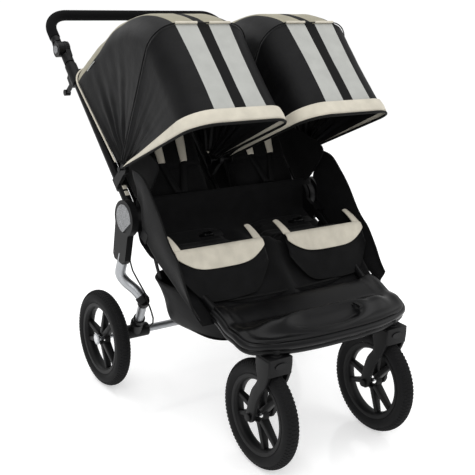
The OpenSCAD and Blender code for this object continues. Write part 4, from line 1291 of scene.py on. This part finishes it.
class STROLLER_OT_frame(bpy.types.Operator):
    """Gives the tubes, covers and fittings their finishes, and adds their small mouldings"""
    bl_idname = "stroller.frame"
    bl_label = "Frame"

    def execute(self, context):
        finish = {
            "tube": ("side_tubes", "front_cross_tube", "push_tubes", "upper_cross_bar", "centre_strut",
                     "handlebar_tube"),
            "silver": ("suspension_struts", "axle_tube"),
            "steel": ("fold_shaft",),
            "moulding": ("caster_housings", "hood_pins", "hub_brackets", "handle_knuckles", "canopy_clips",
                         "brake_housing", "brake_lever", "leg_covers", "axle_fittings", "tray_latch"),
            "cap": ("hub_badges",),
            "button": ("handle_button_right", "handle_button_left"),
            "foam": ("foam_grip",),
            "binding": ("brake_cable",),
        }
        for key, nodes in finish.items():
            for n in nodes:
                paint(n, key)
        self.tray()
        self.legs()
        for side, s in SIDES:
            self.hinge_ribs(side, s)
            self.clip_webbing(side, s)
        return {"FINISHED"}

    def tray(self):
        """The foot tray: a smooth dished shell with a thick rolled lip, an oval ridge and its slot."""
        low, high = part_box("foot_tray")
        half, back, front = high.x, high.y, low.y

        def place(u, v):
            a = 2 * u - 1
            wide = half * math.sqrt(1 - 0.42 * max(0.0, (v - 0.5) / 0.5) ** 4)
            y = back + (front - back + 0.026 * abs(a) ** 3) * v
            z = (low.z + 0.014 + 0.052 * (1 - smooth_step(0, 1, v * 1.15)) + 0.020 * smooth_step(0.35, 0.65, v)
                 + 0.024 * math.exp(-((v - 0.66) / 0.15) ** 2) * (1 - smooth_step(0.62, 0.92, abs(a)))
                 + 0.012 * smooth_step(0.8, 0.95, abs(a)) * (1 - v))
            oval = math.hypot((a + 0.06) / 0.50, (v - 0.74) / 0.17)
            z += 0.006 * math.exp(-((oval - 1.0) / 0.16) ** 2) - 0.004 * (1 - smooth_step(0.5, 0.9, oval))
            rim = max(smooth_step(0.94, 1.0, abs(a)), smooth_step(0.93, 1.0, v))
            return a * wide, y, z - 0.004 * rim

        shell = piece("foot_tray_shell", sheet_mesh(96, 64, place, (0.56, 0.2)), "gloss", "front_frame",
                      ["foot_tray"], 60.0)
        thicken(shell, 4 * MM)
        ring = [place(0.0, k / 10) for k in range(10)] + [place(k / 30, 1.0) for k in range(31)]
        ring += [place(1.0, 1 - k / 10) for k in range(1, 11)]
        lip = tube_mesh([Vector(p) - Vector((0, 0, 0.010)) for p in ring], 11 * MM, 20)
        skirt = tube_mesh([Vector(p) * 0.994 - Vector((0, 0, 0.024)) for p in ring], 9 * MM, 20)
        piece("foot_tray_lip", joined(lip, skirt), "gloss", "front_frame", (), 60.0)

    def legs(self):
        """The bent silver leg tubes, each one smooth sweep."""
        y0, z0 = SHAFT.y, SHAFT.z
        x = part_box("leg_tubes")[1].x - 0.015
        path = [(x, y0 + 0.024, z0 - 0.112), (x, y0 + 0.036, z0 - 0.150), (x - 0.001, y0 + 0.046, z0 - 0.186),
                (x - 0.014, y0 + 0.038, z0 - 0.210), (0.300, y0 + 0.015, z0 - 0.235), (0.283, y0 - 0.005, z0 - 0.264)]
        path = curve_through(path, 30)
        parts = [on_side(tube_mesh(path, 16 * MM, 24), s) for _, s in SIDES]
        piece("leg_tubes_bent", joined(*parts), "silver", "rear_leg", ["leg_tubes"], 50.0)

    def hinge_ribs(self, side, s):
        """Raised ribs round the handlebar's hinge."""
        parts = []
        for k in range(22):
            a = math.tau * k / 22
            if abs((math.degrees(a - PUSH_SLOPE) + 180) % 360 - 180) > 140:
                continue
            at = (RIB_X, KNUCKLE.y + RIB_RING * math.cos(a), KNUCKLE.z + RIB_RING * math.sin(a))
            parts.append(block((0.006, 0.003, 0.0016), at, 0.5 * MM,
                               Matrix.Rotation(a - math.pi / 2, 4, "X"), 1))
        piece(f"knuckle_ribs_{side}", on_side(joined(*parts), s), "moulding", "push_frame")

    def clip_webbing(self, side, s):
        """The two pale press studs below a hood's clip."""
        parts = []
        for d in (0.075, 0.098):
            y, z = along_push(d, 0.0145)
            parts.append(block((0.014, 0.016, 0.003), Vector((0.316, y, z)), 1.2 * MM,
                               Matrix.Rotation(PUSH_SLOPE, 4, "X")))
        piece(f"frame_studs_{side}", on_side(joined(*parts), s), "cream", "push_frame")


# ---- stage ----
class STROLLER_OT_stage(bpy.types.Operator):
    """Makes the pale floor, the soft lights and the camera"""
    bl_idname = "stroller.stage"
    bl_label = "Stage"

    def execute(self, context):
        bm = bmesh.new()
        bmesh.ops.create_grid(bm, x_segments=1, y_segments=1, size=30.0)
        mesh = bpy.data.meshes.new("floor")
        bm.to_mesh(mesh)
        bm.free()
        floor = bpy.data.objects.new("floor", mesh)
        m, _, sh = start_material("studio_floor", 0.1, Specular_IOR_Level=0.75, Emission_Strength=0.42)
        sh.inputs["Base Color"].default_value = (0.9, 0.9, 0.9, 1)
        sh.inputs["Emission Color"].default_value = (1, 1, 1, 1)
        mesh.materials.append(m)
        context.scene.collection.objects.link(floor)
        self.camera(context)
        self.light(context, "key", (-2.6, -3.2, 3.6), 3.0, 75.0)
        self.light(context, "fill", (3.4, -2.0, 2.4), 3.5, 30.0)
        self.light(context, "top", (0.0, 0.4, 4.2), 4.0, 62.0)
        self.light(context, "rear", (-1.5, 3.6, 2.8), 3.0, 40.0)
        world = bpy.data.worlds.new("studio")
        context.scene.world = world
        world.use_nodes = True
        world.node_tree.nodes["Background"].inputs["Color"].default_value = (1, 1, 1, 1)
        world.node_tree.nodes["Background"].inputs["Strength"].default_value = 0.62
        context.scene.view_settings.view_transform = "Standard"
        return {"FINISHED"}

    def camera(self, context):
        azimuth, elevation, roll = (math.radians(a) for a in (-35.6, 17.406, 2.757))
        distance = 2.747
        target = Vector((-0.009, 0.0954 - 0.1547, 0.5))
        c = bpy.data.cameras.new("camera")
        o = bpy.data.objects.new("camera", c)
        context.scene.collection.objects.link(o)
        c.sensor_width = 36.0
        c.lens = 68.44
        back = Vector((math.sin(azimuth) * math.cos(elevation), -math.cos(azimuth) * math.cos(elevation),
                       math.sin(elevation)))
        right = (-back).cross(Vector((0, 0, 1))).normalized()
        up = right.cross(-back)
        tilted = (math.cos(roll) * right + math.sin(roll) * up, -math.sin(roll) * right + math.cos(roll) * up, back)
        o.matrix_world = Matrix.Translation(target + back * distance) @ Matrix(tilted).transposed().to_4x4()
        context.scene.camera = o

    def light(self, context, name, at, size, watts):
        lamp = bpy.data.lights.new(name, "AREA")
        lamp.shape = "DISK"
        lamp.size = size
        lamp.energy = watts
        o = bpy.data.objects.new(name, lamp)
        o.location = at
        o.rotation_mode = "QUATERNION"
        o.rotation_quaternion = (Vector((0, 0, 0.5)) - Vector(at)).to_track_quat("-Z", "Y")
        context.scene.collection.objects.link(o)


class STROLLER_PT_panel(bpy.types.Panel):
    """Lists the stroller's builders and settings in the sidebar"""
    bl_idname = "STROLLER_PT_panel"
    bl_label = "Stroller"
    bl_space_type = "VIEW_3D"
    bl_region_type = "UI"
    bl_category = "Stroller"

    def draw(self, context):
        for group in (context.scene.stroller_sizes, context.scene.stroller_colours):
            for name in group.bl_rna.properties.keys():
                if name not in ("rna_type", "name"):
                    self.layout.prop(group, name)
        for op in OPERATORS:
            self.layout.operator(op.bl_idname)


OPERATORS = (STROLLER_OT_stage, STROLLER_OT_frame, STROLLER_OT_wheels, STROLLER_OT_forks, STROLLER_OT_hoods,
             STROLLER_OT_wings, STROLLER_OT_basket, STROLLER_OT_seats)
CLASSES = (StrollerSizes, StrollerColours, *OPERATORS, STROLLER_PT_panel)


def register():
    for c in CLASSES:
        bpy.utils.register_class(c)
    bpy.types.Scene.stroller_sizes = bpy.props.PointerProperty(type=StrollerSizes)
    bpy.types.Scene.stroller_colours = bpy.props.PointerProperty(type=StrollerColours)


def unregister():
    del bpy.types.Scene.stroller_colours
    del bpy.types.Scene.stroller_sizes
    for c in reversed(CLASSES):
        bpy.utils.unregister_class(c)


def main():
    register()
    for op in OPERATORS:
        group, name = op.bl_idname.split(".")
        getattr(getattr(bpy.ops, group), name)()


if __name__ == "__main__":
    main()
